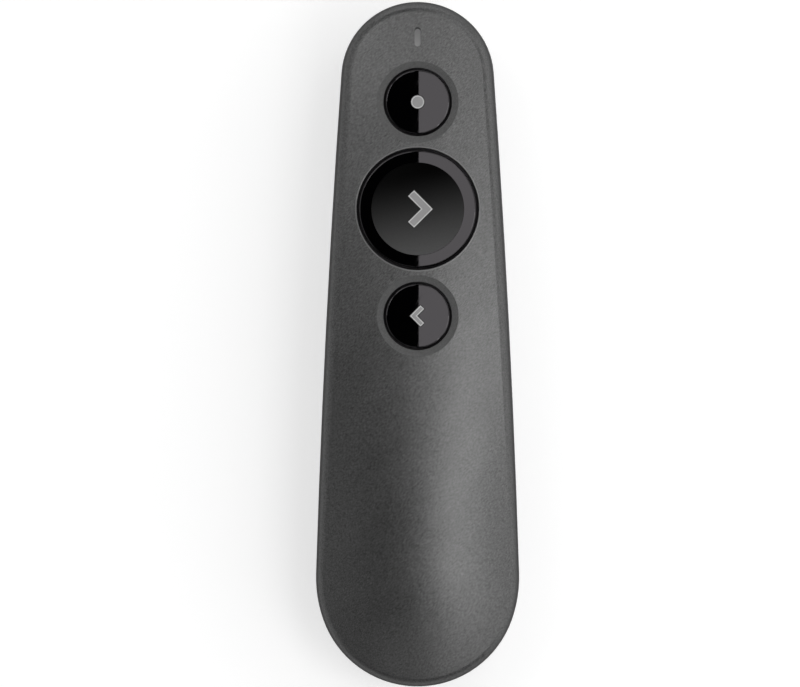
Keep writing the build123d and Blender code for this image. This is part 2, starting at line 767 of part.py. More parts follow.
# Frame under the caps: guides the stems, stops the travel and keeps the caps in
with BuildPart() as button_frame:
    with BuildSketch(Plane.XY.offset(frame_bottom)):
        add(plan_outline(wall + frame_inset))
        with Locations((0, (frame_tail_y + frame_nose_y) / 2)):
            Rectangle(seam_reach, frame_nose_y - frame_tail_y, mode=Mode.INTERSECT)
    extrude(amount=frame_thickness)
    for y, cap_radius, gap, flange_radius in buttons:
        # Collar round the stem, and a stop ring under the flange
        with BuildSketch(Plane.XY.offset(frame_top)):
            with Locations((0, y)):
                Circle(stem_radius + stem_guide_gap + guide_collar_wall)
        extrude(amount=guide_collar_height)
        ring_height = seat_height(y) - flange_thickness - press_travel - stop_clearance - frame_top
        if ring_height > 0.05:
            with BuildSketch(Plane.XY.offset(frame_top)):
                with Locations((0, y)):
                    Circle(flange_radius)
                    Circle(flange_radius - flange_width, mode=Mode.SUBTRACT)
            extrude(amount=ring_height)
        with BuildSketch(Plane.XY.offset(frame_bottom)):
            with Locations((0, y)):
                Circle(stem_radius + stem_guide_gap)
        extrude(amount=frame_thickness + guide_collar_height, mode=Mode.SUBTRACT)
    for x, y in stake_places:
        with BuildSketch(Plane.XY.offset(frame_bottom)):
            with Locations((x, y), (-x, y)):
                Circle(stake_pin_radius)
        extrude(amount=frame_thickness, mode=Mode.SUBTRACT)
button_frame.part.label = "button_frame"

# ---------------------------------------------------------------- circuit board

with BuildPart() as main_board:
    with BuildSketch(Plane.XY.offset(board_bottom)):
        add(plan_outline(wall + board_gap))
        with Locations((0, (board_tail_y + board_nose_y) / 2)):
            Rectangle(seam_reach, board_nose_y - board_tail_y, mode=Mode.INTERSECT)
        for x, y in board_post_places:
            with Locations((x, y), (-x, y)):
                Circle(board_screw_radius, mode=Mode.SUBTRACT)
    extrude(amount=board_thickness)
main_board.part.label = "main_board"


def switch_body(y):
    """Push switch with a round well for its plunger and two bent legs on each side."""
    with BuildPart() as body:
        with BuildSketch(Plane.XY.offset(board_top)):
            with Locations((0, y)):
                RectangleRounded(switch_side, switch_side, switch_corner)
        extrude(amount=switch_body_height)
        with BuildSketch(Plane.XY.offset(switch_top)):
            with Locations((0, y)):
                Circle(plunger_radius + plunger_gap)
        extrude(amount=-plunger_depth - press_travel - 2 * stop_clearance, mode=Mode.SUBTRACT)
        with BuildSketch(Plane.XY.offset(board_top)):
            with Locations((0, y - switch_leg_spread / 2), (0, y + switch_leg_spread / 2)):
                Rectangle(switch_side + 2 * switch_leg_reach, switch_leg_width)
        extrude(amount=switch_leg_thickness)
    return body.part


def plunger(y):
    """Round plunger that stands out of a push switch."""
    with BuildPart() as pin:
        with BuildSketch(Plane.XY.offset(switch_top - plunger_depth)):
            with Locations((0, y)):
                Circle(plunger_radius)
        extrude(amount=plunger_depth + plunger_rise)
    return pin.part


with BuildPart() as laser_switch_body:
    add(switch_body(laser_button_y))
laser_switch_body.part.label = "laser_switch_body"
with BuildPart() as next_switch_body:
    add(switch_body(next_button_y))
next_switch_body.part.label = "next_switch_body"
with BuildPart() as back_switch_body:
    add(switch_body(back_button_y))
back_switch_body.part.label = "back_switch_body"
with BuildPart() as laser_switch_plunger:
    add(plunger(laser_button_y))
laser_switch_plunger.part.label = "laser_switch_plunger"
with BuildPart() as next_switch_plunger:
    add(plunger(next_button_y))
next_switch_plunger.part.label = "next_switch_plunger"
with BuildPart() as back_switch_plunger:
    add(plunger(back_button_y))
back_switch_plunger.part.label = "back_switch_plunger"

between_rows = next_button_y - button_pitch / 2
with BuildPart() as controller_chip:
    with BuildSketch(Plane.XY.offset(board_top)):
        with Locations((-1.4 * chip_side, between_rows)):
            Rectangle(chip_side, chip_side)
    extrude(amount=chip_height)
controller_chip.part.label = "controller_chip"

with BuildPart() as crystal:
    with BuildSketch(Plane.XY.offset(board_top)):
        with Locations((-1.4 * chip_side, between_rows + chip_side)):
            RectangleRounded(crystal_length, crystal_width, crystal_width / 8)
    extrude(amount=crystal_height)
crystal.part.label = "crystal"

# Small ceramic parts in two groups, one beside the controller and one beside the laser's switch
with BuildPart() as chip_components:
    with BuildSketch(Plane.XY.offset(board_top)):
        with Locations((1.4 * chip_side, between_rows)):
            with GridLocations(1.6 * small_chip_length, 2.8 * small_chip_width, 2, 3):
                Rectangle(small_chip_length, small_chip_width)
        with Locations((0, between_rows + button_pitch)):
            with GridLocations(3.5 * small_chip_length, 1, 4, 1):
                Rectangle(small_chip_width, small_chip_length)
    extrude(amount=small_chip_height)
chip_components.part.label = "chip_components"

with BuildPart() as antenna:
    with BuildSketch(Plane.XY.offset(board_top)):
        with Locations((1.5 * antenna_length, light_y - board_past_light)):
            Rectangle(antenna_width, antenna_length)
    extrude(amount=antenna_height)
antenna.part.label = "antenna"

with BuildPart() as status_led:
    with BuildSketch(Plane.XY.offset(board_top)):
        with Locations((0, light_y)):
            Rectangle(led_width, led_length)
    extrude(amount=led_height)
status_led.part.label = "status_led"

# Clear strip from the lamp to the top, with a flange that bears on the shell from inside
light_face = body_form(light_recess)
light_foot = board_top + led_height + light_gap
with BuildPart() as light_collar:
    with BuildSketch(Plane.XY.offset(crown_height(light_y) - wall - light_flange_drop)):
        with Locations((0, light_y)):
            SlotOverall(light_length + 2 * light_flange, light_width + 2 * light_flange, rotation=90)
    extrude(amount=wall + light_flange_drop)
    add(cavity_form, mode=Mode.INTERSECT)
with BuildPart() as light_pipe:
    with BuildSketch(Plane.XY.offset(light_foot)):
        with Locations((0, light_y)):
            SlotOverall(light_length, light_width, rotation=90)
    extrude(amount=body_height - light_foot)
    add(light_face, mode=Mode.INTERSECT)
    add(light_collar.part)
light_pipe.part.label = "light_pipe"

# ---------------------------------------------------------------- laser module

barrel_back_y = laser_barrel_front_y - laser_barrel_length
with BuildPart() as laser_barrel:
    with BuildSketch(Plane.XZ.offset(-laser_barrel_front_y)):
        with Locations((0, laser_height)):
            Circle(laser_barrel_radius)
    extrude(amount=laser_barrel_length)
    with BuildSketch(Plane.XZ.offset(-laser_barrel_front_y)):
        with Locations((0, laser_height)):
            Circle(laser_bore_radius)
    extrude(amount=laser_barrel_length / 2, mode=Mode.SUBTRACT)
    chamfer(laser_barrel.edges().group_by(Axis.Y)[-1].sort_by(SortBy.RADIUS)[-1], laser_barrel_bevel)
laser_barrel.part.label = "laser_barrel"

with BuildPart() as laser_lens:
    with BuildSketch(Plane.XZ.offset(-(laser_barrel_front_y - laser_lens_depth))):
        with Locations((0, laser_height)):
            Circle(laser_bore_radius)
    extrude(amount=laser_lens_thickness)
laser_lens.part.label = "laser_lens"

with BuildPart() as laser_window:
    with BuildSketch(Plane.XZ.offset(-window_face_y)):
        with Locations((0, laser_height)):
            Circle(laser_window_radius)
    extrude(amount=laser_window_thickness)
laser_window.part.label = "laser_window"

with BuildPart() as laser_driver_board:
    with BuildSketch(Plane.XY.offset(laser_height - driver_board_thickness / 2)):
        with Locations((0, barrel_back_y - driver_board_length / 2)):
            Rectangle(driver_board_width, driver_board_length)
    extrude(amount=driver_board_thickness)
laser_driver_board.part.label = "laser_driver_board"

driver_top = laser_height + driver_board_thickness / 2
lead_start_y = barrel_back_y - driver_board_length + laser_lead_bend
lead_middle = (driver_top + board_bottom) / 2
with BuildPart() as laser_leads:
    for x in (-laser_lead_spread / 2, laser_lead_spread / 2):
        with BuildLine() as route:
            FilletPolyline(
                (x, lead_start_y, driver_top),
                (x, lead_start_y, lead_middle),
                (x, lead_start_y - laser_lead_reach, lead_middle),
                (x, lead_start_y - laser_lead_reach, board_bottom),
                radius=laser_lead_bend,
            )
        with BuildSketch(Plane(route.line @ 0, z_dir=route.line % 0)):
            Circle(lead_radius)
        sweep(path=route.line)
laser_leads.part.label = "laser_leads"

# ---------------------------------------------------------------- battery and contacts

with BuildPart() as battery_cell:
    with BuildSketch(Plane.XZ.offset(-(cell_nose - cell_nub_length))):
        with Locations((0, cell_axis)):
            Circle(cell_radius)
    extrude(amount=cell_length - cell_nub_length - cell_end_length)
    fillet(battery_cell.edges().filter_by(GeomType.CIRCLE), 0.4)
battery_cell.part.label = "battery_cell"

with BuildPart() as battery_positive_cap:
    with BuildSketch(Plane.XZ.offset(-cell_nose)):
        with Locations((0, cell_axis)):
            Circle(cell_nub_radius)
    extrude(amount=cell_nub_length)
    fillet(battery_positive_cap.edges().group_by(Axis.Y)[-1], 0.3)
battery_positive_cap.part.label = "battery_positive_cap"

with BuildPart() as battery_negative_end:
    with BuildSketch(Plane.XZ.offset(-cell_tail)):
        with Locations((0, cell_axis)):
            Circle(cell_end_radius)
    extrude(amount=-cell_end_length)
battery_negative_end.part.label = "battery_negative_end"

contact_foot = cell_axis - contact_width / 2
with BuildPart() as positive_contact:
    with BuildSketch(Plane.XZ.offset(-trough_nose_y)):
        with Locations((0, cell_axis)):
            Rectangle(contact_width, contact_width)
        with Locations((0, (cell_axis + board_bottom) / 2)):
            Rectangle(contact_tab_width, board_bottom - cell_axis)
    extrude(amount=contact_thickness)
    with BuildSketch(Plane.XZ.offset(-(trough_nose_y - contact_thickness))):
        with Locations((0, cell_axis)):
            Circle(contact_boss_radius)
    extrude(amount=contact_boss_height, taper=25)
positive_contact.part.label = "positive_contact"

tab_top = trough_top + contact_tab_rise
with BuildPart() as spring_plate:
    with BuildSketch(Plane.XZ.offset(-(trough_tail_y + contact_thickness))):
        with Locations((0, cell_axis)):
            Rectangle(contact_width, contact_width)
        with Locations((0, (cell_axis + tab_top) / 2)):
            Rectangle(contact_tab_width, tab_top - cell_axis)
    extrude(amount=contact_thickness)
spring_plate.part.label = "spring_plate"

spring_run = spring_length - 2 * spring_wire_radius
spring_foot = trough_tail_y + contact_thickness + spring_wire_radius
with BuildPart() as battery_spring:
    with BuildLine() as coil:
        Helix(
            pitch=spring_run / spring_turns,
            height=spring_run,
            radius=spring_radius,
            center=(0, spring_foot, cell_axis),
            direction=(0, 1, 0),
        )
    with BuildSketch(Plane(coil.line @ 0, z_dir=coil.line % 0)):
        Circle(spring_wire_radius)
    sweep(path=coil.line, is_frenet=True)
battery_spring.part.label = "battery_spring"

# Insulated lead from the tail contact, over the cell's room, to the edge of the board
lead_level = trough_top + 1.2 * lead_radius
lead_start_y = trough_tail_y + contact_thickness
lead_end = board_bottom + board_thickness / 2
with BuildPart() as battery_lead:
    with BuildLine() as route:
        level_run = Line((0, lead_start_y, lead_level), (0, board_tail_y - lead_climb, lead_level))
        Spline(level_run @ 1, (0, board_tail_y, lead_end), tangents=((0, 1, 0), (0, 1, 0)))
    with BuildSketch(Plane(route.line @ 0, z_dir=route.line % 0)):
        Circle(lead_radius)
    sweep(path=route.line)
battery_lead.part.label = "battery_lead"

# ---------------------------------------------------------------- battery door

with BuildPart() as battery_door:
    # The belly's own wall, cut out along the door's edges
    add(outer_form)
    add(cavity_form, mode=Mode.SUBTRACT)
    with BuildSketch(Plane.XY.offset(-1)):
        with Locations((0, (door_front_y - door_gap + door_step_y) / 2)):
            Rectangle(2 * (door_half_width - door_gap), door_front_y - door_gap - door_step_y)
        with Locations((0, door_step_y - door_gap - body_length / 2)):
            Rectangle(seam_reach, body_length)
        with Locations((0, door_step_y)):
            Rectangle(2 * (door_half_width - door_gap), 4 * door_gap)
    extrude(amount=door_rear_height + 1, mode=Mode.INTERSECT)
    # Rails along both sides, hooked over the lip of the lower shell
    rail_length = door_front_y - 2 * door_gap - rail_tail_y
    rail_inner = door_half_width - door_gap - rail_web
    rail_outer = door_half_width + rail_reach
    for side in (1, -1):
        with BuildSketch(Plane.XZ.offset(-(door_front_y - 2 * door_gap))):
            with Locations((side * (door_half_width - door_gap - rail_web / 2), 0)):
                Rectangle(rail_web, 2 * (rail_height + rail_gap + rail_thickness))
            rail_middle = side * (rail_inner + rail_outer) / 2
            with Locations((rail_middle, rail_height + rail_gap + rail_thickness / 2)):
                Rectangle(rail_outer - rail_inner, rail_thickness)
        extrude(amount=rail_length)
    add(outer_form, mode=Mode.INTERSECT)
    # Tongue at the front edge
    with BuildSketch(Plane.XY.offset(tongue_bottom)):
        with Locations((0, door_front_y + (tongue_reach - tongue_root) / 2)):
            Rectangle(tongue_width, tongue_reach + tongue_root)
    extrude(amount=tongue_thickness)
    # Finger grip
    with BuildSketch(Plane.XY):
        with Locations((0, door_front_y - grip_from_front - grip_pitch * (grip_count - 1) / 2)):
            with GridLocations(1, grip_pitch, 1, grip_count):
                SlotOverall(grip_groove_length, grip_groove_width)
    extrude(amount=grip_groove_depth, mode=Mode.SUBTRACT)
battery_door.part.label = "battery_door"

# ---------------------------------------------------------------- docked receiver

with BuildPart() as receiver_body:
    with BuildSketch(Plane.XZ.offset(-receiver_body_end_y)):
        with Locations((0, receiver_height)):
            RectangleRounded(receiver_width, receiver_thickness, receiver_corner)
    extrude(amount=2 * receiver_body_depth)
    add(outer_form, mode=Mode.INTERSECT)
    # Groove for a fingernail across the outer face
    tail_face_y = tail_y + (parting_height - receiver_height) * sin(radians(lower_draft))
    with BuildSketch(Plane.XZ.offset(-(tail_face_y + nail_groove_depth))):
        with Locations((0, receiver_height + receiver_thickness / 2 - nail_groove_drop)):
            SlotOverall(nail_groove_width, nail_groove_height)
    extrude(amount=receiver_body_depth, mode=Mode.SUBTRACT)
receiver_body.part.label = "receiver_body"

with BuildPart() as receiver_plug_shell:
    with BuildSketch(Plane.XZ.offset(-receiver_body_end_y)):
        with Locations((0, receiver_height)):
            RectangleRounded(plug_width, plug_thickness, plug_corner)
            RectangleRounded(
                plug_width - 2 * plug_sheet,
                plug_thickness - 2 * plug_sheet,
                plug_corner - plug_sheet,
                mode=Mode.SUBTRACT,
            )
    extrude(amount=-plug_length)
    # Two square windows in the upper and in the lower face
    with BuildSketch(Plane.XY.offset(receiver_height - plug_thickness)):
        with Locations((0, plug_tip_y - plug_window_from_tip)):
            with GridLocations(plug_window_pitch, 1, 2, 1):
                Rectangle(plug_window, plug_window)
    extrude(amount=2 * plug_thickness, mode=Mode.SUBTRACT)
receiver_plug_shell.part.label = "receiver_plug_shell"

tongue_floor = receiver_height - plug_thickness / 2 + plug_sheet
with BuildPart() as receiver_tongue:
    with BuildSketch(Plane.XY.offset(tongue_floor)):
        with Locations((0, receiver_body_end_y + (plug_length - plug_tongue_back) / 2)):
            Rectangle(plug_width - 2 * plug_corner, plug_length - plug_tongue_back)
    extrude(amount=plug_tongue_thickness)
receiver_tongue.part.label = "receiver_tongue"

with BuildPart() as receiver_contacts:
    with BuildSketch(Plane.XY.offset(tongue_floor + plug_tongue_thickness)):
        with Locations((0, plug_tip_y - plug_tongue_back - pin_length / 2 - pin_from_tip)):
            with GridLocations(pin_pitch, 1, 4, 1):
                Rectangle(pin_width, pin_length)
    extrude(amount=pin_thickness)
receiver_contacts.part.label = "receiver_contacts"

# ---------------------------------------------------------------- screws


def screw(x, y, seat, head_radius, head_height, shank_radius, length, direction):
    """Pan-head screw: the seat is the face that the head bears on, the shank runs from it."""
    profile = Plane(origin=(x, y, seat), x_dir=(1, 0, 0), z_dir=(0, 0, direction))
    with BuildPart() as one:
        with BuildSketch(profile):
            Circle(head_radius)
        extrude(amount=-head_height)
        with BuildSketch(profile):
            Circle(shank_radius)
        extrude(amount=length)
        with BuildSketch(profile.offset(-head_height)):
            Rectangle(head_radius * 1.3, head_radius * 0.32)
            Rectangle(head_radius * 0.32, head_radius * 1.3)
        extrude(amount=head_height * 0.5, mode=Mode.SUBTRACT)
    return one.part


with BuildPart() as shell_screws:
    for x, y in shell_screw_places:
        for side in (1, -1):
            add(
                screw(
                    side * x, y, screw_seat, screw_head_radius, screw_head_height,
                    screw_shank_radius, screw_length, 1,
                )
            )
shell_screws.part.label = "shell_screws"

with BuildPart() as board_screws:
    for x, y in board_post_places:
        for side in (1, -1):
            add(
                screw(
                    side * x, y, board_top, board_screw_head_radius, board_screw_head_height,
                    board_screw_radius, board_screw_length, -1,
                )
            )
board_screws.part.label = "board_screws"

# ---------------------------------------------------------------- write every piece

pieces = (
    top_shell, bottom_shell, battery_door, laser_window, light_pipe,
    laser_button, next_button, next_pad, back_button, button_frame, main_board,
    laser_switch_body, next_switch_body, back_switch_body,
    laser_switch_plunger, next_switch_plunger, back_switch_plunger,
    controller_chip, crystal, chip_components, antenna, status_led,
    laser_barrel, laser_lens, laser_driver_board, laser_leads,
    battery_cell, battery_positive_cap, battery_negative_end,
    positive_contact, spring_plate, battery_spring, battery_lead,
    receiver_body, receiver_plug_shell, receiver_tongue, receiver_contacts,
    shell_screws, board_screws,
)
os.makedirs("parts", exist_ok=True)
for piece in pieces:
    export_step(piece.part, f"parts/{piece.part.label}.step")
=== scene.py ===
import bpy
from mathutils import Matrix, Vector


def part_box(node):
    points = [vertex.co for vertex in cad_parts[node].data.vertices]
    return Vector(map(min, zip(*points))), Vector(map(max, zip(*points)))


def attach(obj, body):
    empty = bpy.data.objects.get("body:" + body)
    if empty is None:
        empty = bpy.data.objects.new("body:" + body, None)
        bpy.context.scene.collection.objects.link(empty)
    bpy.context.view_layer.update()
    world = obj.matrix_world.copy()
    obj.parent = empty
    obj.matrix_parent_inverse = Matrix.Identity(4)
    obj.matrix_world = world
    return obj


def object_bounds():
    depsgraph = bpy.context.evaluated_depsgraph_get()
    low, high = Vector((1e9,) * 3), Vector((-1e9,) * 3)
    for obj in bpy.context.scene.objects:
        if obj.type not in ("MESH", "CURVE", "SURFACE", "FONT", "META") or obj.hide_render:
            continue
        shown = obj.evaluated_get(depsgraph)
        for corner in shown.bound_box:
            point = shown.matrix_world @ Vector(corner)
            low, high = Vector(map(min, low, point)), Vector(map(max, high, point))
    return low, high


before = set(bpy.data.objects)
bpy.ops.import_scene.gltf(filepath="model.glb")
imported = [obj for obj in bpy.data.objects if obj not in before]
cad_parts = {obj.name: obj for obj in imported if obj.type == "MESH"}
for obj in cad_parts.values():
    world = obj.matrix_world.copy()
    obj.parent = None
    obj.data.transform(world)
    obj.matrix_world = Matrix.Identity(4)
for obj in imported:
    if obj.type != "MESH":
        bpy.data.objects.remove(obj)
cad_box = [list(corner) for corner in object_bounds()]

from math import cos, pi, radians, sin, tan

import bpy
import numpy as np

# ---------------------------------------------------------------- camera
# A long lens high above the clicker, looking straight down with the nose at the top.
# The body fills the height of the view and lies a little to the right of its middle.
view_width, view_height = 800, 687         # pixels
pixels_per_metre = 5266.0                  # at the seam
middle_of_body = (417.6, 344.2)            # pixels from the left edge and from the top
focal_length = 800.0                       # millimetres
sensor_width = 36.0
inside_reach = 0.0026                      # how far the upper shell's insides reach below the seam
seam_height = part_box("top_shell")[0].z + inside_reach
furthest_seen = 100.0

camera_data = bpy.data.cameras.new("camera")
camera_data.lens = focal_length
camera_data.sensor_width = sensor_width
camera_data.clip_end = furthest_seen
camera = bpy.data.objects.new("camera", camera_data)
camera_distance = view_width / pixels_per_metre * focal_length / sensor_width
camera_x = (view_width / 2 - middle_of_body[0]) / pixels_per_metre
camera_y = (middle_of_body[1] - view_height / 2) / pixels_per_metre
camera.location = (camera_x, camera_y, seam_height + camera_distance)
scene = bpy.context.scene
scene.collection.objects.link(camera)
scene.camera = camera
scene.view_settings.view_transform = "Standard"

# ---------------------------------------------------------------- room
# A dim room with paler low walls, plain white wherever it is looked at past the table. Light comes
# from under the table too, for a look at the belly.
wall_top, room_start = 0.15, 0.35          # upward share of the direction
wall_level, room_level = 0.40, 0.006
below_start, below_end = -0.1, -0.35
below_level = 1.0
white = (1, 1, 1, 1)


def wire(tree, kind, inputs=(), **settings):
    """Adds one node: its settings first, then its inputs, each a value or another node's socket."""
    node = tree.nodes.new(kind)
    for key, value in settings.items():
        setattr(node, key, value)
    for key, value in dict(inputs).items():
        if isinstance(value, bpy.types.NodeSocket):
            tree.links.new(value, node.inputs[key])
        else:
            node.inputs[key].default_value = value
    return node


def maths(tree, operation, *terms):
    """Chains one arithmetic operation over two or more numbers or sockets."""
    total = terms[0]
    for term in terms[1:]:
        total = wire(tree, "ShaderNodeMath", {0: total, 1: term}, operation=operation).outputs[0]
    return total


def axis_of(tree, place, axis):
    """One coordinate of a point: 0 across, 1 along, 2 up."""
    return wire(tree, "ShaderNodeSeparateXYZ", {0: place}).outputs[axis]


def spread(tree, value, low, high, new_low=0.0, new_high=1.0, kind="LINEAR"):
    """Takes a value from the range low..high to new_low..new_high, held at both ends."""
    inputs = {"Value": value, "From Min": low, "From Max": high, "To Min": new_low, "To Max": new_high}
    return wire(tree, "ShaderNodeMapRange", inputs, interpolation_type=kind).outputs[0]


world = bpy.data.worlds.new("studio")
world.use_nodes = True
scene.world = world
sky = world.node_tree
upward = axis_of(sky, wire(sky, "ShaderNodeTexCoord").outputs["Generated"], 2)
above = spread(sky, upward, wall_top, room_start, wall_level, room_level)
below = spread(sky, upward, below_end, below_start, below_level - wall_level, 0.0)
level = maths(sky, "ADD", above, below)
seen = wire(sky, "ShaderNodeLightPath").outputs["Is Camera Ray"]
unseen = maths(sky, "SUBTRACT", 1.0, seen)
level = maths(sky, "ADD", maths(sky, "MULTIPLY", level, unseen), seen)
sky.links.new(level, sky.nodes["Background"].inputs["Strength"])
sky.nodes["Background"].inputs["Color"].default_value = white

# ---------------------------------------------------------------- table
# A pale matt table. It shows from above only, and light passes it, so that the belly is lit when
# it is looked at. Its own glow whitens it for the camera. In reflections the glow fades near the
# foot, as a painted shadow of the clicker.
table_size = 6.0
table_drop = 0.00005                       # below the lowest face, so that no two share a plane
table_colour = (0.55, 0.55, 0.55, 1)
table_lift = 0.58
table_shade = 0.07                         # reach of the clicker's painted shadow in reflections


def vectors(tree, operation, *terms):
    """One operation on one or two vectors or sockets. A length or a distance comes out as a number."""
    node = wire(tree, "ShaderNodeVectorMath", enumerate(terms), operation=operation)
    return node.outputs["Value" if operation in ("LENGTH", "DISTANCE") else "Vector"]


table_mesh = bpy.data.meshes.new("table")
half = table_size / 2
table_height = cad_box[0][2] - table_drop
corners = [(x, y, table_height) for x, y in ((-half, -half), (half, -half), (half, half), (-half, half))]
table_mesh.from_pydata(corners, [], [(0, 1, 2, 3)])
table = bpy.data.objects.new("table", table_mesh)
scene.collection.objects.link(table)

table_finish = bpy.data.materials.new("pale table")
table_finish.use_nodes = True
tree = table_finish.node_tree
path = wire(tree, "ShaderNodeLightPath").outputs
front = maths(tree, "SUBTRACT", 1.0, wire(tree, "ShaderNodeNewGeometry").outputs["Backfacing"])
looked_at = maths(
    tree, "MAXIMUM", path["Is Camera Ray"], path["Is Glossy Ray"], path["Is Transmission Ray"]
)
half_width, half_length = cad_box[1][0], cad_box[1][1]
outward = vectors(tree, "ABSOLUTE", wire(tree, "ShaderNodeTexCoord").outputs["Object"])
outward = vectors(tree, "SUBTRACT", outward, (0.0, half_length - half_width, 0.0))
outward = vectors(tree, "MAXIMUM", outward, (0.0, 0.0, 0.0))
outward = vectors(tree, "MULTIPLY", outward, (1.0, 1.0, 0.0))
reach = vectors(tree, "LENGTH", outward)
# In reflections the glow fades near the foot: a painted shadow of the clicker.
glow = spread(tree, reach, half_width, half_width + table_shade, 0.0, table_lift)
glow = maths(tree, "MAXIMUM", glow, maths(tree, "MULTIPLY", path["Is Camera Ray"], table_lift))
matt = wire(tree, "ShaderNodeBsdfDiffuse", {"Color": table_colour}).outputs[0]
lift = wire(tree, "ShaderNodeEmission", {"Strength": glow}).outputs[0]
lit = wire(tree, "ShaderNodeAddShader", {0: matt, 1: lift}).outputs[0]
clear = wire(tree, "ShaderNodeBsdfTransparent").outputs[0]
shown = maths(tree, "MULTIPLY", front, looked_at)
table_shader = wire(tree, "ShaderNodeMixShader", {0: shown, 1: clear, 2: lit}).outputs[0]
tree.links.new(table_shader, tree.nodes["Material Output"].inputs["Surface"])
tree.nodes.remove(tree.nodes["Principled BSDF"])
table_mesh.materials.append(table_finish)

# ---------------------------------------------------------------- lamps
# Soft panels hang overhead, brightest on the right and towards the nose. The edge of one runs down
# the middle, where the flat gloss caps mirror it. Tall screens stand round the table.
panel_height = 0.6                         # above the seam

# Panels: name, brightness, and the angles from upright to the edges, first to the right of the
# body and then towards its nose
panels = (
    ("mirrored_panel", 2.1, (0.08, 3.0), (-6.0, 6.0)),
    ("middle_front_panel", 1.15, (3.0, 9.0), (0.0, 50.0)),
    ("middle_back_panel", 0.4, (3.0, 9.0), (-50.0, 0.0)),
    ("key_panel", 6.3, (9.0, 27.0), (-12.0, 0.0)),
    ("near_front_panel", 3.1, (9.0, 16.0), (0.0, 28.0)),
    ("right_back_panel", 2.4, (16.0, 40.0), (-28.0, -12.0)),
    ("right_panel", 1.1, (27.0, 40.0), (-12.0, 0.0)),
    ("right_nose_panel", 2.0, (16.0, 40.0), (28.0, 50.0)),
    ("right_tail_panel", 1.4, (9.0, 40.0), (-50.0, -28.0)),
    ("far_right_front_panel", 1.5, (40.0, 60.0), (0.0, 50.0)),
    ("far_right_back_panel", 1.2, (40.0, 60.0), (-50.0, 0.0)),
    ("left_near_front_panel", 2.6, (-12.0, -1.5), (12.0, 28.0)),
    ("left_front_panel", 3.9, (-25.0, -12.0), (12.0, 28.0)),
    ("far_left_front_panel", 0.65, (-40.0, -25.0), (0.0, 50.0)),
    ("far_left_back_panel", 0.25, (-40.0, -25.0), (-50.0, 0.0)),
    ("left_tail_panel", 0.65, (-25.0, -1.5), (-50.0, -28.0)),
    ("left_wall_front_panel", 0.9, (-60.0, -40.0), (0.0, 50.0)),
    ("left_wall_back_panel", 0.35, (-60.0, -40.0), (-50.0, 0.0)),
)

# Screens: name, brightness, and the direction that they stand in
screen_distance = 1.2                      # from the body's middle
screen_foot, screen_top = 5.0, 30.0        # degrees up from the seam
screen_half_width = 40.0                   # degrees
screens = (
    ("right_screen", 1.3, 0.0),
    ("front_screen", 1.3, 90.0),
    ("left_screen", 0.55, 180.0),
    ("back_screen", 0.25, 270.0),
)


def soft_light(name, brightness, width, length, place, turn):
    """A lamp with an even face. Its power is pi times its brightness times the face's area."""
    lamp = bpy.data.lights.new(name, "AREA")
    lamp.shape = "RECTANGLE"
    lamp.size, lamp.size_y = width, length
    lamp.energy = brightness * pi * width * length
    holder = bpy.data.objects.new(name, lamp)
    holder.location, holder.rotation_euler = place, turn
    holder.visible_camera = False
    scene.collection.objects.link(holder)


def slope(angle):
    """Run for a rise of one, at an angle in degrees."""
    return tan(radians(angle))


for name, brightness, across, along in panels:
    x0, x1 = (panel_height * slope(angle) for angle in across)
    y0, y1 = (panel_height * slope(angle) for angle in along)
    place = ((x0 + x1) / 2, (y0 + y1) / 2, seam_height + panel_height)
    soft_light(name, brightness, x1 - x0, y1 - y0, place, (0.0, 0.0, 0.0))

screen_width = 2 * screen_distance * slope(screen_half_width)
z0, z1 = (seam_height + screen_distance * slope(angle) for angle in (screen_foot, screen_top))
for name, brightness, bearing in screens:
    x, y = screen_distance * cos(radians(bearing)), screen_distance * sin(radians(bearing))
    turn = (radians(90), 0.0, radians(bearing + 90))
    soft_light(name, brightness, screen_width, z1 - z0, (x, y, (z0 + z1) / 2), turn)

# ---------------------------------------------------------------- upper shell
# The upper half of the housing, moulded in one piece with a fine sand grain that leans, because it
# drags as the part leaves the mould, and sprayed with graphite metal paint. The rings round the two
# small caps are duller, and their flat grey is painted shade of their sunk slopes. A thin painted
# highlight runs round the edge of the large hole.
graphite_dark = (0.058, 0.058, 0.058, 1)
graphite_light = (0.142, 0.142, 0.142, 1)
graphite_metal = 0.85
graphite_roughness = 0.36
graphite_rim = (0.4, 0.4, 0.4, 1)          # tint of the sheen towards a grazing look
ring_reach = 0.0077                        # from the small button's axis
ring_blur = 0.0001
# Flat dull grey of the sunk rings: painted shade of their slopes.
ring_shade_dark = (0.066, 0.066, 0.066, 1)
ring_shade_light = (0.108, 0.108, 0.108, 1)
ring_metal = 0.08
ring_roughness = 0.7
hole_highlight_start, hole_highlight_end = 0.01159, 0.01185      # painted highlight round the edge of the large hole, from its axis
painted_highlight_grey = (0.145, 0.145, 0.145, 1)
sand_size = 0.00013
sand_lean = radians(45)
sand_stretch = 0.25
sand_depth = 0.0000006
grain_range = (0.28, 0.72)                 # the part of the noise's range that a grain fills
cloud_range = (0.3, 0.7)
cloud_scale = 0.03                         # clouds in the grain, as a share of its fineness
grain_sway, cloud_sway = 0.04, 0.02        # how far they move the roughness either way


def tint(tree, share, dark, light):
    """Colour between two others, by a share that runs from 0 to 1. Each may be a socket."""
    return wire(tree, "ShaderNodeMix", {0: share, 6: dark, 7: light}, data_type="RGBA").outputs[2]


def new_group(name, inputs, outputs):
    """An empty effect group with named inputs (kind, name, and a value, or None where every use
    gives its own) and named outputs (kind, name)."""
    group = bpy.data.node_groups.new(name, "ShaderNodeTree")
    for kind, label, value in inputs:
        socket = group.interface.new_socket(label, in_out="INPUT", socket_type="NodeSocket" + kind)
        if value is not None:
            socket.default_value = value
    for kind, label in outputs:
        group.interface.new_socket(label, in_out="OUTPUT", socket_type="NodeSocket" + kind)
    return group, wire(group, "NodeGroupInput").outputs, wire(group, "NodeGroupOutput").inputs


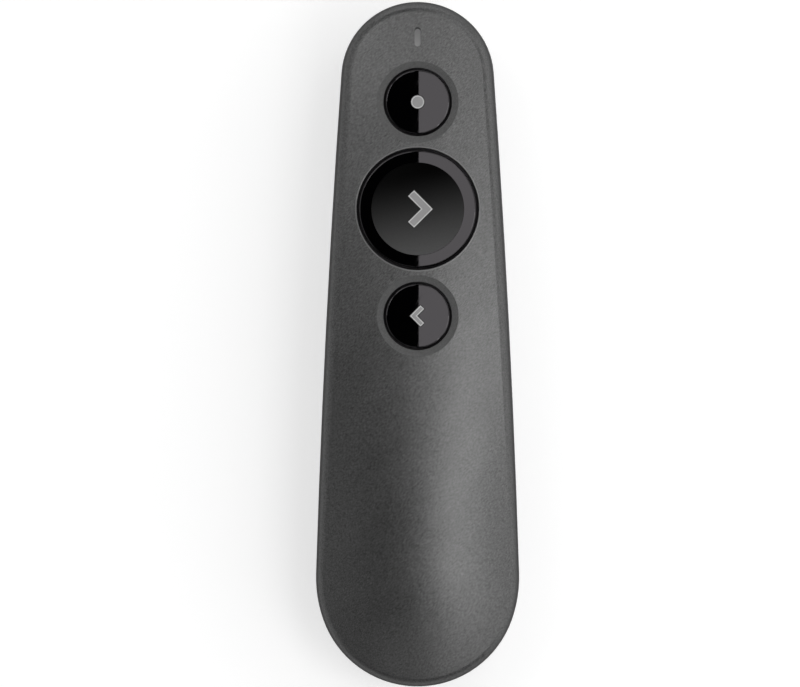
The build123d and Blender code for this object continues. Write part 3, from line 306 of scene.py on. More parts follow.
def noise(tree, place, scale, detail):
    """Soft noise round one half."""
    inputs = {"Vector": place, "Scale": scale, "Detail": detail}
    return wire(tree, "ShaderNodeTexNoise", inputs).outputs[0]


# Sand grain of a mould: soft noise, pulled out along one direction in the plane of the table.
sand_group, given, result = new_group(
    "sand_grain",
    [
        ("Vector", "Place", None),
        ("Float", "Size", None),
        ("Float", "Lean", 0.0),
        ("Float", "Stretch", 1.0),
    ],
    [("Float", "Grain"), ("Float", "Cloud")],
)
back_turn = maths(sand_group, "MULTIPLY", given["Lean"], -1.0)
turned = wire(
    sand_group, "ShaderNodeVectorRotate",
    {"Vector": given["Place"], "Angle": back_turn}, rotation_type="Z_AXIS",
).outputs[0]
pull = wire(sand_group, "ShaderNodeCombineXYZ", {0: given["Stretch"], 1: 1.0, 2: 1.0}).outputs[0]
pulled = vectors(sand_group, "MULTIPLY", turned, pull)
per_metre = maths(sand_group, "DIVIDE", 1.0, given["Size"])
fine = noise(sand_group, pulled, per_metre, detail=2.0)
coarse = maths(sand_group, "MULTIPLY", per_metre, cloud_scale)
cloud = noise(sand_group, pulled, coarse, detail=3.0)
sand_group.links.new(spread(sand_group, fine, *grain_range), result["Grain"])
sand_group.links.new(spread(sand_group, cloud, *cloud_range), result["Cloud"])


def new_finish(name):
    """An empty finish: the material, its tree, its shader's inputs and the point on the piece."""
    finish = bpy.data.materials.new(name)
    finish.use_nodes = True
    tree = finish.node_tree
    place = wire(tree, "ShaderNodeTexCoord").outputs["Object"]
    return finish, tree, tree.nodes["Principled BSDF"].inputs, place


def effect(tree, group, **inputs):
    """Places an effect group in a finish and returns its outputs. _ stands for a space in a name."""
    node = wire(tree, "ShaderNodeGroup", node_tree=group)
    for key, value in inputs.items():
        socket = node.inputs[key.replace("_", " ")]
        if isinstance(value, bpy.types.NodeSocket):
            tree.links.new(value, socket)
        else:
            socket.default_value = value
    return node.outputs


def relief(tree, shader, height, depth):
    """Bump of a given depth in metres on the shader's normal."""
    bump = wire(tree, "ShaderNodeBump", {"Height": height, "Distance": depth, "Strength": 1.0})
    tree.links.new(bump.outputs[0], shader["Normal"])


def swayed_gloss(tree, sand, roughness):
    """Roughness of a moulded face, which its grain and the clouds in the grain sway a little."""
    grain = spread(tree, sand["Grain"], 0, 1, roughness - grain_sway, roughness + grain_sway)
    return maths(tree, "ADD", grain, spread(tree, sand["Cloud"], 0, 1, -cloud_sway, cloud_sway))


def upright_distance(tree, place, x, y):
    """Distance of a point from the upright line through x, y."""
    return vectors(tree, "DISTANCE", vectors(tree, "MULTIPLY", place, (1.0, 1.0, 0.0)), (x, y, 0.0))


def from_button(tree, place, node):
    """Distance of a point from the upright axis of a round cap."""
    low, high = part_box(node)
    return upright_distance(tree, place, (low.x + high.x) / 2, (low.y + high.y) / 2)


def cover(finish, *nodes):
    """Gives CAD nodes their finish."""
    for node in nodes:
        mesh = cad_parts[node].data
        mesh.materials.clear()
        mesh.materials.append(finish)


finish, tree, shader, place = new_finish("graphite_paint")
sand = effect(tree, sand_group, Place=place, Size=sand_size, Lean=sand_lean, Stretch=sand_stretch)
large = from_button(tree, place, "next_button")
# Painted highlight: a thin paler band round the edge of the large hole.
past_wall = maths(tree, "GREATER_THAN", large, hole_highlight_start)
hole_highlight = maths(tree, "MULTIPLY", past_wall, maths(tree, "LESS_THAN", large, hole_highlight_end))
paint = tint(tree, hole_highlight, tint(tree, sand["Grain"], graphite_dark, graphite_light), painted_highlight_grey)
to_small = [from_button(tree, place, node) for node in ("laser_button", "back_button")]
small = maths(tree, "MINIMUM", *to_small)
# Painted shade: the sunk rings round the small caps take a flat dull grey.
ring = spread(tree, small, ring_reach, ring_reach + ring_blur, 1.0, 0.0)
shaded_ring_grey = tint(tree, sand["Grain"], ring_shade_dark, ring_shade_light)
tree.links.new(tint(tree, ring, paint, shaded_ring_grey), shader["Base Color"])
tree.links.new(spread(tree, ring, 0, 1, graphite_metal, ring_metal), shader["Metallic"])
duller = maths(tree, "MULTIPLY", ring, ring_roughness - graphite_roughness)
gloss = maths(tree, "ADD", swayed_gloss(tree, sand, graphite_roughness), duller)
tree.links.new(gloss, shader["Roughness"])
shader["Specular Tint"].default_value = graphite_rim
relief(tree, shader, sand["Grain"], sand_depth)
cover(finish, "top_shell")

# ---------------------------------------------------------------- lower shell and battery door
# The lower half and the sliding door are moulded in black plastic with a round spark-eroded grain,
# and take no paint. The door slides in from the tail, over the battery's well.
belly_dark = (0.010, 0.010, 0.011, 1)
belly_light = (0.024, 0.024, 0.025, 1)
belly_roughness = 0.46
spark_size = 0.00022
spark_depth = 0.000012


def sanded_plastic(name, dark, light, roughness, size, depth, *nodes, stretch=1.0):
    """Moulded plastic with the sand grain of its mould in its colour, gloss and relief."""
    finish, tree, shader, place = new_finish(name)
    sand = effect(tree, sand_group, Place=place, Size=size, Stretch=stretch)
    tree.links.new(tint(tree, sand["Grain"], dark, light), shader["Base Color"])
    tree.links.new(swayed_gloss(tree, sand, roughness), shader["Roughness"])
    relief(tree, shader, sand["Grain"], depth)
    cover(finish, *nodes)


sanded_plastic(
    "black_plastic", belly_dark, belly_light, belly_roughness, spark_size, spark_depth,
    "bottom_shell", "battery_door",
)

# ---------------------------------------------------------------- laser window
# A disc of clear plastic, dyed a smoky red and pressed into the nose from inside. The laser's beam
# leaves through it.
window_clear = 0.85
acrylic_index = 1.49
smoke_dark, smoke_light = (0.10, 0.02, 0.02, 1), (0.14, 0.03, 0.03, 1)
window_roughness = (0.03, 0.07)
smoke_size = 0.0012

finish, tree, shader, place = new_finish("smoked_window")
shader["Transmission Weight"].default_value = window_clear
shader["IOR"].default_value = acrylic_index
smoke = effect(tree, sand_group, Place=place, Size=smoke_size)
tree.links.new(tint(tree, smoke["Cloud"], smoke_dark, smoke_light), shader["Base Color"])
tree.links.new(spread(tree, smoke["Grain"], 0, 1, *window_roughness), shader["Roughness"])
cover(finish, "laser_window")

# ---------------------------------------------------------------- light pipe
# A strip of milky acrylic that carries the status light up through a slot in the top. It stands on
# a wider foot inside. Its colour is painted shade: darker towards the nose, and near black at its
# end by the nose, as the shadow of the slot's lip.
# Painted shade along the strip, darker at the nose end, and the painted shadow at that end
pipe_nose_shade = (0.105, 0.105, 0.105, 1)
pipe_tail_grey = (0.195, 0.195, 0.195, 1)
pipe_shade = (0.002, 0.002, 0.002, 1)
shade_width = 0.00036
pipe_foot = 0.0007                         # the foot is this much larger all round than the strip
pipe_round = 0.0006                        # radius of the strip's round end
pipe_roughness = (0.3, 0.38)
milk_size = 0.0004
milk_depth = 0.000003

low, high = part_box("light_pipe")
strip_start, strip_end = high.y - pipe_foot, low.y + pipe_foot
bow_middle = strip_start - pipe_round - shade_width
finish, tree, shader, place = new_finish("milky_acrylic")
along = axis_of(tree, place, 1)
milk = effect(tree, sand_group, Place=place, Size=milk_size)
# Painted shadow of the slot's lip across the end by the nose.
outside_bow = maths(tree, "GREATER_THAN", upright_distance(tree, place, 0.0, bow_middle), pipe_round)
shaded = maths(tree, "MULTIPLY", outside_bow, maths(tree, "GREATER_THAN", along, bow_middle))
# Painted shade: the strip darkens from the tail towards the nose.
strip = tint(tree, spread(tree, along, strip_start, strip_end), pipe_nose_shade, pipe_tail_grey)
tree.links.new(tint(tree, shaded, strip, pipe_shade), shader["Base Color"])
tree.links.new(spread(tree, milk["Grain"], 0, 1, *pipe_roughness), shader["Roughness"])
relief(tree, shader, milk["Grain"], milk_depth)
cover(finish, "light_pipe")

# ---------------------------------------------------------------- button caps
# Three black caps, hollow and held in from below. They are polished on top to a mirror gloss, with
# faint marks where they are wiped, and left as moulded down their skirts.
cap_black = (0.0001, 0.0001, 0.0002, 1)
cap_wiped = (0.0003, 0.0003, 0.0004, 1)
cap_sheen = (1.0, 0.95, 1.0, 1)
polish_roughness = 0.006
skirt_roughness = 0.6
polish_end, skirt_start = 0.0004, 0.0005   # below the cap's top
wipe_size = 0.0009
wipe_lean = radians(60)
wipe_stretch = 0.15
wipe_start, wipe_haze = 0.6, 0.01          # the strongest marks only, and how dull they are

for button in ("laser_button", "next_button", "back_button"):
    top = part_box(button)[1].z
    finish, tree, shader, place = new_finish("polished_" + button)
    wipes = effect(tree, sand_group, Place=place, Size=wipe_size, Lean=wipe_lean, Stretch=wipe_stretch)
    marks = spread(tree, wipes["Grain"], wipe_start, 1.0, polish_roughness, polish_roughness + wipe_haze)
    up = axis_of(tree, place, 2)
    skirt = spread(tree, up, top - polish_end, top - skirt_start, 0.0, skirt_roughness)
    tree.links.new(maths(tree, "ADD", skirt, marks), shader["Roughness"])
    tree.links.new(tint(tree, wipes["Cloud"], cap_black, cap_wiped), shader["Base Color"])
    shader["Specular Tint"].default_value = cap_sheen
    cover(finish, button)

# ---------------------------------------------------------------- soft pad
# The hollow in the middle cap is a separate pad of soft-touch rubber, pressed into its pocket. It
# is duller than the ring round it. Its colour is painted light and shade: black towards the nose and
# the left, paler towards the tail and the right.
# Painted light and shade on the pad: black where it is shaded, paler where it is lit.
pad_black = (0.0005, 0.0005, 0.0005, 1)
pad_painted_light = (0.123, 0.123, 0.123, 1)
pad_roughness, pad_sway = 0.45, 0.04
pad_sheen_level = 0.02
pad_depth = 0.00095                        # of the hollow, at its middle
light_lean = 0.25                            # towards the right, per length towards the tail
light_start, light_end = -0.0075, 0.020        # from the pad's middle towards the tail
grit_size = 0.00014
grit_least = 0.85                          # share of the painted light that the darkest grit keeps
grit_depth = 0.000001

finish, tree, shader, place = new_finish("soft_touch_rubber")
low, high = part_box("next_pad")
aslant = maths(tree, "MULTIPLY", axis_of(tree, place, 0), light_lean)
tailward = maths(tree, "SUBTRACT", (low.y + high.y) / 2, axis_of(tree, place, 1))
# Painted light and shade: the pad is paler towards the tail and the right.
painted_light = spread(tree, maths(tree, "ADD", tailward, aslant), light_start, light_end, kind="SMOOTHSTEP")
grit = effect(tree, sand_group, Place=place, Size=grit_size)
painted_light = maths(tree, "MULTIPLY", painted_light, spread(tree, grit["Grain"], 0, 1, grit_least, 1.0))
tree.links.new(tint(tree, painted_light, pad_black, pad_painted_light), shader["Base Color"])
softness = spread(tree, grit["Cloud"], 0, 1, pad_roughness, pad_roughness + pad_sway)
tree.links.new(softness, shader["Roughness"])
shader["Specular IOR Level"].default_value = pad_sheen_level
relief(tree, shader, grit["Grain"], grit_depth)
cover(finish, "next_pad")

# ---------------------------------------------------------------- printed symbols
# A dot for the laser, and chevrons for the next and the previous slide: thick grey pad print. Round
# its edge a thin dark outline is painted shade, and a paler rim just inside it is a painted highlight.
print_thickness = 0.00006
print_sunk = 0.00003
print_round = 0.00016                      # width of the rounded edge
outline_width = 0.00012
print_highlight_width = 0.00019
rim_blur = 0.00003
print_dark, print_light = (0.235, 0.235, 0.235, 1), (0.275, 0.275, 0.275, 1)
# Painted highlight at the print's edge, and painted shade in the thin dark outline round it
print_painted_highlight = (0.50, 0.50, 0.50, 1)
print_painted_edge_shade = (0.002, 0.002, 0.002, 1)
print_roughness = (0.42, 0.5)
ink_size = 0.0001
ink_depth = 0.000002
dot_radius = 0.00135
dot_lines = 33
next_tip, next_half_height, next_stroke = 0.00304, 0.0037, 0.00183
back_tip, back_half_height, back_stroke = -0.00165, 0.00217, 0.00122
arm_lines, stroke_lines = 61, 17
root_two = 2**0.5

print_finish, tree, shader, place = new_finish("grey_print")
grit = effect(tree, sand_group, Place=place, Size=ink_size)
inward = wire(tree, "ShaderNodeAttribute", attribute_name="edge").outputs["Fac"]
print_highlight_end = outline_width + print_highlight_width
ink = tint(tree, grit["Grain"], print_dark, print_light)
# Painted highlight just inside the edge, and painted shade in a thin dark outline at the edge.
ink = tint(tree, spread(tree, inward, print_highlight_end, print_highlight_end + rim_blur), print_painted_highlight, ink)
ink = tint(tree, spread(tree, inward, outline_width, outline_width + rim_blur), print_painted_edge_shade, ink)
tree.links.new(ink, shader["Base Color"])
tree.links.new(spread(tree, grit["Cloud"], 0, 1, *print_roughness), shader["Roughness"])
relief(tree, shader, grit["Grain"], ink_depth)


def printed_patch(name, body, x, y, edge, surface):
    """A closed slab over a grid of places x, y. Its top stands on the surface by the thickness of
    the print times a quarter-round of the distance to the edge, and its underside lies sunk."""
    rise = np.clip(edge / print_round, 0, 1)
    top = surface(x, y) + print_thickness * np.sqrt(1 - (1 - rise) ** 2)
    under = surface(x, y) - print_sunk
    rows, columns = x.shape
    places = np.concatenate([np.stack([x, y, z], -1).reshape(-1, 3) for z in (top, under)])
    index = np.arange(rows * columns).reshape(rows, columns)
    faces = np.stack([index[:-1, :-1], index[:-1, 1:], index[1:, 1:], index[1:, :-1]], -1).reshape(-1, 4)
    rim = np.concatenate([index[0, :-1], index[:-1, -1], index[-1, :0:-1], index[:0:-1, 0]])
    after, below = np.roll(rim, -1), rows * columns
    walls = np.stack([rim + below, after + below, after, rim], -1)
    mesh = bpy.data.meshes.new(name)
    mesh.from_pydata(places.tolist(), [], np.concatenate([faces, faces[:, ::-1] + below, walls]).tolist())
    mesh.shade_smooth()
    inward = mesh.attributes.new("edge", "FLOAT", "POINT")
    inward.data.foreach_set("value", np.tile(edge.ravel(), 2).astype(np.float32))
    mesh.materials.append(print_finish)
    patch = bpy.data.objects.new(name, mesh)
    scene.collection.objects.link(patch)
    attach(patch, body)


def middle_of(node):
    """Place along the body of a round cap's middle."""
    low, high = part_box(node)
    return (low.y + high.y) / 2


def flat_face(node):
    """The flat top of a cap, as a function of the place on it."""
    return lambda x, y: np.full_like(x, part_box(node)[1].z)


def hollow(x, y):
    """Height of the pad's top: the lower cap of a ball through the pad's rim and its middle."""
    low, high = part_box("next_pad")
    reach = (high.x - low.x) / 2
    ball = (reach**2 + pad_depth**2) / (2 * pad_depth)
    return high.z - pad_depth + ball - np.sqrt(ball**2 - x**2 - (y - middle_of("next_pad")) ** 2)


def printed_dot(name, node, body, radius):
    """A disc: a square grid u, v pressed round by x = u sqrt(1 - v²/2), y = v sqrt(1 - u²/2)."""
    share = np.linspace(-1, 1, dot_lines)
    u, v = np.meshgrid(share, share)
    x, y = radius * u * np.sqrt(1 - v**2 / 2), radius * v * np.sqrt(1 - u**2 / 2)
    edge = radius - np.hypot(x, y)
    printed_patch(name, body, x, y + middle_of(node), edge, flat_face(node))


def printed_chevron(name, node, body, tip, half_height, stroke, surface):
    """Two arms at 45 degrees. s runs from one arm's end through the tip to the other's, and t from
    the outer edge to the inner one, which is the stroke's width inside it and meets at the mitre."""
    way = 1.0 if tip > 0 else -1.0
    s = way * np.sin(np.linspace(-1, 1, arm_lines) * pi / 2)
    t = (1 - np.cos(np.linspace(0, 1, stroke_lines) * pi)) / 2
    s, t = np.meshgrid(s, t)
    inner_height = half_height - stroke / root_two
    out = np.abs(s) * ((1 - t) * half_height + t * inner_height)
    x = tip - way * (out + t * stroke * root_two)
    y = np.sign(s) * out
    edge = np.minimum(np.minimum(t, 1 - t) * stroke, (1 - np.abs(s)) * half_height * root_two)
    printed_patch(name, body, x, y + middle_of(node), edge, surface)


printed_dot("laser_dot", "laser_button", "laser_button_body", dot_radius)
printed_chevron(
    "next_chevron", "next_button", "next_button_body", next_tip, next_half_height, next_stroke, hollow
)
printed_chevron(
    "back_chevron", "back_button", "back_button_body", back_tip, back_half_height, back_stroke,
    flat_face("back_button"),
)

# ---------------------------------------------------------------- guide frame
# A plate of natural grey plastic under the top, heat-staked to its posts. It guides the caps' stems
# and shows the slow flow of the plastic as long marks across it.
frame_dark, frame_light = (0.26, 0.26, 0.27, 1), (0.34, 0.34, 0.35, 1)
frame_roughness = 0.5
flow_size = 0.0011
flow_stretch = 0.3
flow_depth = 0.00001

sanded_plastic(
    "grey_frame", frame_dark, frame_light, frame_roughness, flow_size, flow_depth,
    "button_frame", stretch=flow_stretch,
)

# ---------------------------------------------------------------- circuit boards
# Glass-fibre boards under green solder resist: right-angled copper tracks show through it as
# lighter lines, with tinned through holes between them.
resist_dark = (0.006, 0.062, 0.026, 1)
track_green = (0.022, 0.150, 0.062, 1)
solder = (0.60, 0.58, 0.54, 1)
tracks_per_metre = 420.0
track_width, track_run, track_pitch = 0.035, 1.3, 0.42  # in units of 1 / tracks_per_metre
track_shift, track_squash = 0.37, 0.6
holes_per_metre = 330.0
hole_reach = 0.11                          # share of the holes' pitch
board_roughness = (0.22, 0.34)
fibre_size = 0.0003
fibre_show = 0.25
copper_depth = 0.00003

finish, tree, shader, place = new_finish("green_board")
layout = {
    "Vector": place, "Scale": tracks_per_metre,
    "Mortar Size": track_width, "Brick Width": track_run, "Row Height": track_pitch,
}
track = wire(tree, "ShaderNodeTexBrick", layout, offset=track_shift, squash=track_squash).outputs["Fac"]
spots = {"Vector": place, "Scale": holes_per_metre}
holes = wire(tree, "ShaderNodeTexVoronoi", spots, voronoi_dimensions="2D")
hole = maths(tree, "LESS_THAN", holes.outputs["Distance"], hole_reach)
fibre = effect(tree, sand_group, Place=place, Size=fibre_size)
resist = tint(tree, track, resist_dark, track_green)
resist = tint(tree, maths(tree, "MULTIPLY", fibre["Grain"], fibre_show), resist, track_green)
tree.links.new(tint(tree, hole, resist, solder), shader["Base Color"])
tree.links.new(hole, shader["Metallic"])
tree.links.new(spread(tree, fibre["Grain"], 0, 1, *board_roughness), shader["Roughness"])
relief(tree, shader, maths(tree, "ADD", track, hole), copper_depth)
cover(finish, "main_board", "laser_driver_board")

# ---------------------------------------------------------------- push switches
# Black moulded bodies soldered down by bent tin legs, each with an ivory plunger that rides up and
# down with the cap above it.
switch_half = 0.00302                      # from the middle to where the legs come out
switch_dark, switch_light = (0.010, 0.010, 0.010, 1), (0.022, 0.022, 0.022, 1)
switch_roughness = (0.38, 0.5)
switch_grain, switch_depth = 0.0002, 0.000006
ivory_dark, ivory_light = (0.52, 0.49, 0.40, 1), (0.62, 0.59, 0.50, 1)
ivory_roughness = 0.42
ivory_grain, ivory_depth = 0.0002, 0.000004


def away(tree, value, middle):
    """How far a value lies from a middle one, either way."""
    offset = maths(tree, "SUBTRACT", value, middle)
    return wire(tree, "ShaderNodeMath", {0: offset}, operation="ABSOLUTE").outputs[0]


def past(tree, value, middle, reach):
    """One where a value lies further than the reach from the middle one, else zero."""
    return maths(tree, "GREATER_THAN", away(tree, value, middle), reach)


finish, tree, shader, place = new_finish("switch_black")
leg = past(tree, axis_of(tree, place, 0), 0.0, switch_half)
sand = effect(tree, sand_group, Place=place, Size=switch_grain)
black = tint(tree, sand["Grain"], switch_dark, switch_light)
tree.links.new(tint(tree, leg, black, solder), shader["Base Color"])
tree.links.new(leg, shader["Metallic"])
tree.links.new(spread(tree, sand["Cloud"], 0, 1, *switch_roughness), shader["Roughness"])
relief(tree, shader, sand["Grain"], switch_depth)
cover(finish, "laser_switch_body", "next_switch_body", "back_switch_body")
sanded_plastic(
    "ivory_plunger", ivory_dark, ivory_light, ivory_roughness, ivory_grain, ivory_depth,
    "laser_switch_plunger", "next_switch_plunger", "back_switch_plunger",
)

# ---------------------------------------------------------------- controller chip
# The radio controller, moulded in black epoxy and soldered flat on the board, with a small pale dot
# sunk in its top beside the first pin.
epoxy_dark, epoxy_light = (0.012, 0.012, 0.013, 1), (0.026, 0.026, 0.028, 1)
epoxy_roughness = (0.45, 0.6)
epoxy_grain = 0.00012
epoxy_depth = 0.000008
dot_colour = (0.07, 0.07, 0.07, 1)
dot_inset = 0.0008                         # from both edges of the chip
dot_start, dot_end = 0.00028, 0.00034      # from the dot's middle: all dot, no dot
dot_sink = 3.0                             # in grains

low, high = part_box("controller_chip")
finish, tree, shader, place = new_finish("black_epoxy")
pin_one = (low.x + dot_inset, high.y - dot_inset, high.z)
dot = spread(tree, vectors(tree, "DISTANCE", place, pin_one), dot_start, dot_end, 1.0, 0.0)
sand = effect(tree, sand_group, Place=place, Size=epoxy_grain)
epoxy = tint(tree, sand["Grain"], epoxy_dark, epoxy_light)
tree.links.new(tint(tree, dot, epoxy, dot_colour), shader["Base Color"])
tree.links.new(spread(tree, sand["Cloud"], 0, 1, *epoxy_roughness), shader["Roughness"])
sunk = maths(tree, "MULTIPLY", dot, dot_sink)
relief(tree, shader, maths(tree, "SUBTRACT", sand["Grain"], sunk), epoxy_depth)
cover(finish, "controller_chip")

# ---------------------------------------------------------------- small chips and antenna
# The small chips stand in two groups, one lying along the body and one across it. They and the
# antenna are fired ceramic, with ends dipped in tin where they are soldered down.
brown_dark, brown_light = (0.13, 0.09, 0.055, 1), (0.20, 0.15, 0.10, 1)
pale_dark, pale_light = (0.60, 0.59, 0.55, 1), (0.70, 0.69, 0.66, 1)
fired_roughness = (0.3, 0.45)
fired_size = 0.00015
fired_depth = 0.000004
chip_half = 0.0005                         # from a chip's middle to its tin
row_inset = 0.0008                         # the front row's middle, from the foremost edge
row_depth = 0.003
group_middle, half_pitch = 0.0070, 0.00128  # of the two columns behind the front row
antenna_tin = 0.0005


def tinned_ceramic(name, node, dark, light, ends):
    """Fired ceramic with a grainy skin, and tin wherever the ends' share is one."""
    finish, tree, shader, place = new_finish(name)
    fired = effect(tree, sand_group, Place=place, Size=fired_size)
    tin = ends(tree, place)
    tree.links.new(tint(tree, tin, tint(tree, fired["Grain"], dark, light), solder), shader["Base Color"])
    tree.links.new(tin, shader["Metallic"])
    tree.links.new(spread(tree, fired["Cloud"], 0, 1, *fired_roughness), shader["Roughness"])
    relief(tree, shader, fired["Grain"], fired_depth)
    cover(finish, node)


def small_chip_ends(tree, place):
    """Ends of the chips: along the body in the front row, and across it in the group behind."""
    front_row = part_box("chip_components")[1].y - row_inset
    from_group = away(tree, axis_of(tree, place, 0), group_middle)
    across = past(tree, from_group, half_pitch, chip_half)
    along = past(tree, axis_of(tree, place, 1), front_row, chip_half)
    in_front = maths(tree, "GREATER_THAN", axis_of(tree, place, 1), front_row - row_depth)
    behind = maths(tree, "SUBTRACT", 1.0, in_front)
    along = maths(tree, "MULTIPLY", along, in_front)
    across = maths(tree, "MULTIPLY", across, behind)
    return maths(tree, "ADD", along, across)


def antenna_ends(tree, place):
    """A short length at both ends of the antenna."""
    low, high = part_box("antenna")
    return past(tree, axis_of(tree, place, 1), (low.y + high.y) / 2, (high.y - low.y) / 2 - antenna_tin)


tinned_ceramic("brown_ceramic", "chip_components", brown_dark, brown_light, small_chip_ends)
tinned_ceramic("white_ceramic", "antenna", pale_dark, pale_light, antenna_ends)

# ---------------------------------------------------------------- status lamp
# A tiny lamp under the light pipe: a white ceramic base with a drop of clear yellowish resin cast
# over the die.
lamp_dark, lamp_light = (0.62, 0.62, 0.60, 1), (0.72, 0.72, 0.70, 1)
resin_colour = (0.66, 0.66, 0.40, 1)
resin_start, resin_full = 0.0004, 0.00045  # above the lamp's foot
base_roughness, resin_roughness = 0.4, 0.12
lamp_grain = 0.0002

finish, tree, shader, place = new_finish("lamp_resin")
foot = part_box("status_led")[0].z
resin = spread(tree, axis_of(tree, place, 2), foot + resin_start, foot + resin_full)
sand = effect(tree, sand_group, Place=place, Size=lamp_grain)
base = tint(tree, sand["Grain"], lamp_dark, lamp_light)
tree.links.new(tint(tree, resin, base, resin_colour), shader["Base Color"])
tree.links.new(spread(tree, resin, 0, 1, base_roughness, resin_roughness), shader["Roughness"])
cover(finish, "status_led")

# ---------------------------------------------------------------- metal pieces
# Drawn and plated sheet, wire and turned brass. Each keeps the fine lines of its making, which
# run around a turned piece and along a drawn one, under a thin uneven tarnish.
nickel, dull_nickel = (0.62, 0.60, 0.56, 1), (0.46, 0.44, 0.40, 1)
brass, dull_brass = (0.70, 0.50, 0.20, 1), (0.42, 0.27, 0.10, 1)
steel, dull_steel = (0.66, 0.65, 0.63, 1), (0.52, 0.51, 0.49, 1)
gold, dull_gold = (0.86, 0.62, 0.24, 1), (0.66, 0.44, 0.16, 1)
zinc, dull_zinc = (0.13, 0.13, 0.135, 1), (0.06, 0.06, 0.062, 1)
cell_ends = ("battery_positive_cap", "battery_negative_end")
contacts = ("positive_contact", "spring_plate", "battery_spring")
line_range = (0.3, 0.7)                    # the part of the noise's range that they fill
tarnish_range = (0.42, 0.72)
tarnish_scale = 0.12                       # as a share of the lines' fineness
line_sway = 0.06                           # how far lines move the roughness either way
tarnish_haze = 0.12
line_relief = 0.02                         # depth of a line, as a share of its width

# Lines of drawn or turned metal: soft noise, fine across the lines and pulled out along them, and
# broader noise, as it comes, for tarnish.
metal_group, given, result = new_group(
    "drawn_metal",
    [
        ("Vector", "Place", None),
        ("Vector", "Fine along", None),
        ("Float", "Size", None),
    ],
    [("Float", "Lines"), ("Float", "Tarnish")],
)
scaled = vectors(metal_group, "MULTIPLY", given["Place"], given["Fine along"])
per_metre = maths(metal_group, "DIVIDE", 1.0, given["Size"])
lines = noise(metal_group, scaled, per_metre, detail=3.0)
coarse = maths(metal_group, "MULTIPLY", per_metre, tarnish_scale)
stain = noise(metal_group, given["Place"], coarse, detail=4.0)
metal_group.links.new(spread(metal_group, lines, *line_range), result["Lines"])
metal_group.links.new(spread(metal_group, stain, *tarnish_range), result["Tarnish"])


def plated_metal(name, bright, dull, roughness, fine_along, size, *nodes):
    """Metal with making lines in its gloss and relief, and tarnish in its colour."""
    finish, tree, shader, place = new_finish(name)
    made = effect(tree, metal_group, Place=place, Fine_along=fine_along, Size=size)
    tree.links.new(tint(tree, made["Tarnish"], bright, dull), shader["Base Color"])
    lined = spread(tree, made["Lines"], 0, 1, roughness - line_sway, roughness + line_sway)
    gloss = maths(tree, "ADD", lined, maths(tree, "MULTIPLY", made["Tarnish"], tarnish_haze))
    tree.links.new(gloss, shader["Roughness"])
    shader["Metallic"].default_value = 1.0
    relief(tree, shader, made["Lines"], size * line_relief)
    cover(finish, *nodes)


# Finish, bright and tarnished colour, roughness, which way its lines run, their size, its pieces
metals = (
    ("plated_can", nickel, dull_nickel, 0.28, (0.1, 1, 1), 0.0001, "crystal"),
    ("turned_brass", brass, dull_brass, 0.26, (0.05, 1, 0.05), 0.00012, "laser_barrel"),
    ("cell_nickel", nickel, dull_nickel, 0.24, (1, 0.1, 1), 0.0002, *cell_ends),
    ("contact_nickel", nickel, dull_nickel, 0.3, (1, 1, 0.08), 0.00016, *contacts),
    ("plug_steel", steel, dull_steel, 0.25, (1, 0.06, 1), 0.00012, "receiver_plug_shell"),
    ("gold_plate", gold, dull_gold, 0.22, (1, 0.1, 1), 0.0001, "receiver_contacts"),
    ("black_zinc", zinc, dull_zinc, 0.34, (1, 1, 0.3), 0.00015, "shell_screws", "board_screws"),
)
for metal in metals:
    plated_metal(*metal)

# ---------------------------------------------------------------- laser lens
# A small collimating lens, moulded in clear acrylic and pressed into the mouth of the brass barrel,
# with a faint haze left by its mould.
haze_dark, haze_light = (0.90, 0.93, 0.98, 1), (0.97, 0.98, 1.0, 1)
haze_size = 0.0008
haze_roughness = 0.04

finish, tree, shader, place = new_finish("clear_lens")
shader["Transmission Weight"].default_value = 1.0
shader["IOR"].default_value = acrylic_index
haze = effect(tree, sand_group, Place=place, Size=haze_size)
tree.links.new(tint(tree, haze["Cloud"], haze_dark, haze_light), shader["Base Color"])
tree.links.new(spread(tree, haze["Grain"], 0, 1, 0.0, haze_roughness), shader["Roughness"])
cover(finish, "laser_lens")

# ---------------------------------------------------------------- insulated leads
# Stranded wire in soft vinyl, soldered at both ends: a red pair from the laser's board, and a black
# lead from the tail contact to the main board.
red_dark, red_light = (0.34, 0.012, 0.012, 1), (0.46, 0.022, 0.020, 1)
black_dark, black_light = (0.010, 0.010, 0.010, 1), (0.020, 0.020, 0.020, 1)
vinyl = (0.34, 0.0005, 0.000006)           # roughness, size of the grain and its depth

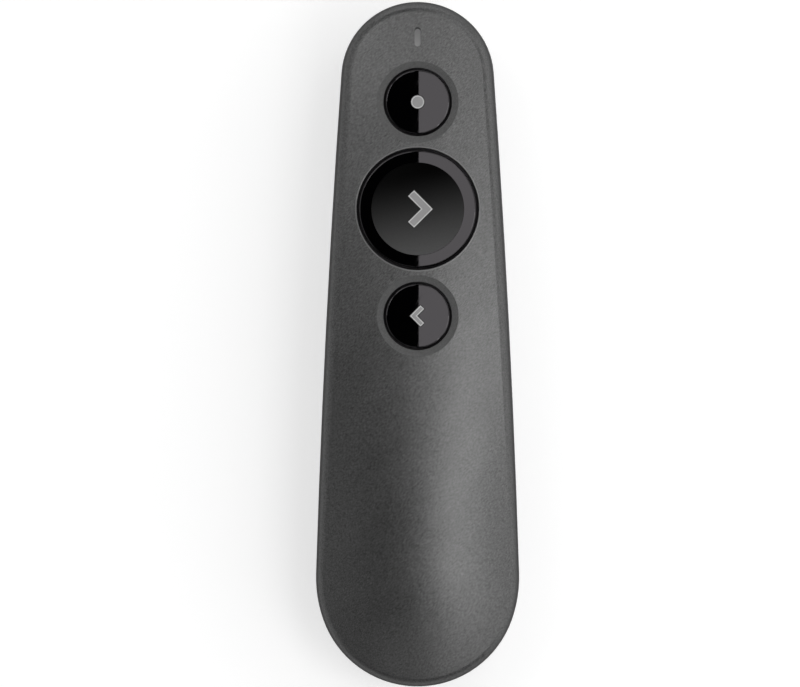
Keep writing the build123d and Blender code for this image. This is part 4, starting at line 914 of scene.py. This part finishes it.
sanded_plastic("red_vinyl", red_dark, red_light, *vinyl, "laser_leads")
sanded_plastic("black_vinyl", black_dark, black_light, *vinyl, "battery_lead")

# ---------------------------------------------------------------- battery cell
# One AAA cell in a shrunk foil sleeve: dark for most of its length, a copper band at the positive
# end and a thin bright line between the two.
sleeve_dark = (0.016, 0.017, 0.020, 1)
sleeve_light = (0.030, 0.031, 0.036, 1)
copper = (0.48, 0.21, 0.085, 1)
silver_line = (0.62, 0.62, 0.62, 1)
band_length = 0.0105
line_width = 0.0006
foil_metal = 0.85
foil_roughness = (0.2, 0.3)
foil_lines = (1, 0.08, 1)
foil_size = 0.0004
foil_depth = 0.000006

finish, tree, shader, place = new_finish("foil_sleeve")
along = axis_of(tree, place, 1)
band_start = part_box("battery_cell")[1].y - band_length
band = maths(tree, "GREATER_THAN", along, band_start)
line = maths(tree, "LESS_THAN", away(tree, along, band_start), line_width / 2)
foil = effect(tree, metal_group, Place=place, Fine_along=foil_lines, Size=foil_size)
dark = tint(tree, foil["Lines"], sleeve_dark, sleeve_light)
colour = tint(tree, line, tint(tree, band, dark, copper), silver_line)
tree.links.new(colour, shader["Base Color"])
printed = maths(tree, "MAXIMUM", band, line)
tree.links.new(maths(tree, "MULTIPLY", printed, foil_metal), shader["Metallic"])
tree.links.new(spread(tree, foil["Lines"], 0, 1, *foil_roughness), shader["Roughness"])
relief(tree, shader, foil["Lines"], foil_depth)
cover(finish, "battery_cell")

# ---------------------------------------------------------------- receiver
# The receiver's cap is moulded in the same black as the lower shell. The tongue inside its plug is
# a smoother black block that carries the gold contacts.
grip_roughness, grip_grain, grip_depth = 0.42, 0.0002, 0.000008
tongue_dark, tongue_light = (0.012, 0.012, 0.012, 1), (0.020, 0.020, 0.020, 1)
tongue_roughness, tongue_grain, tongue_depth = 0.3, 0.0004, 0.000003

sanded_plastic(
    "receiver_black", belly_dark, belly_light, grip_roughness, grip_grain, grip_depth, "receiver_body"
)
sanded_plastic(
    "tongue_black", tongue_dark, tongue_light, tongue_roughness, tongue_grain, tongue_depth,
    "receiver_tongue",
)
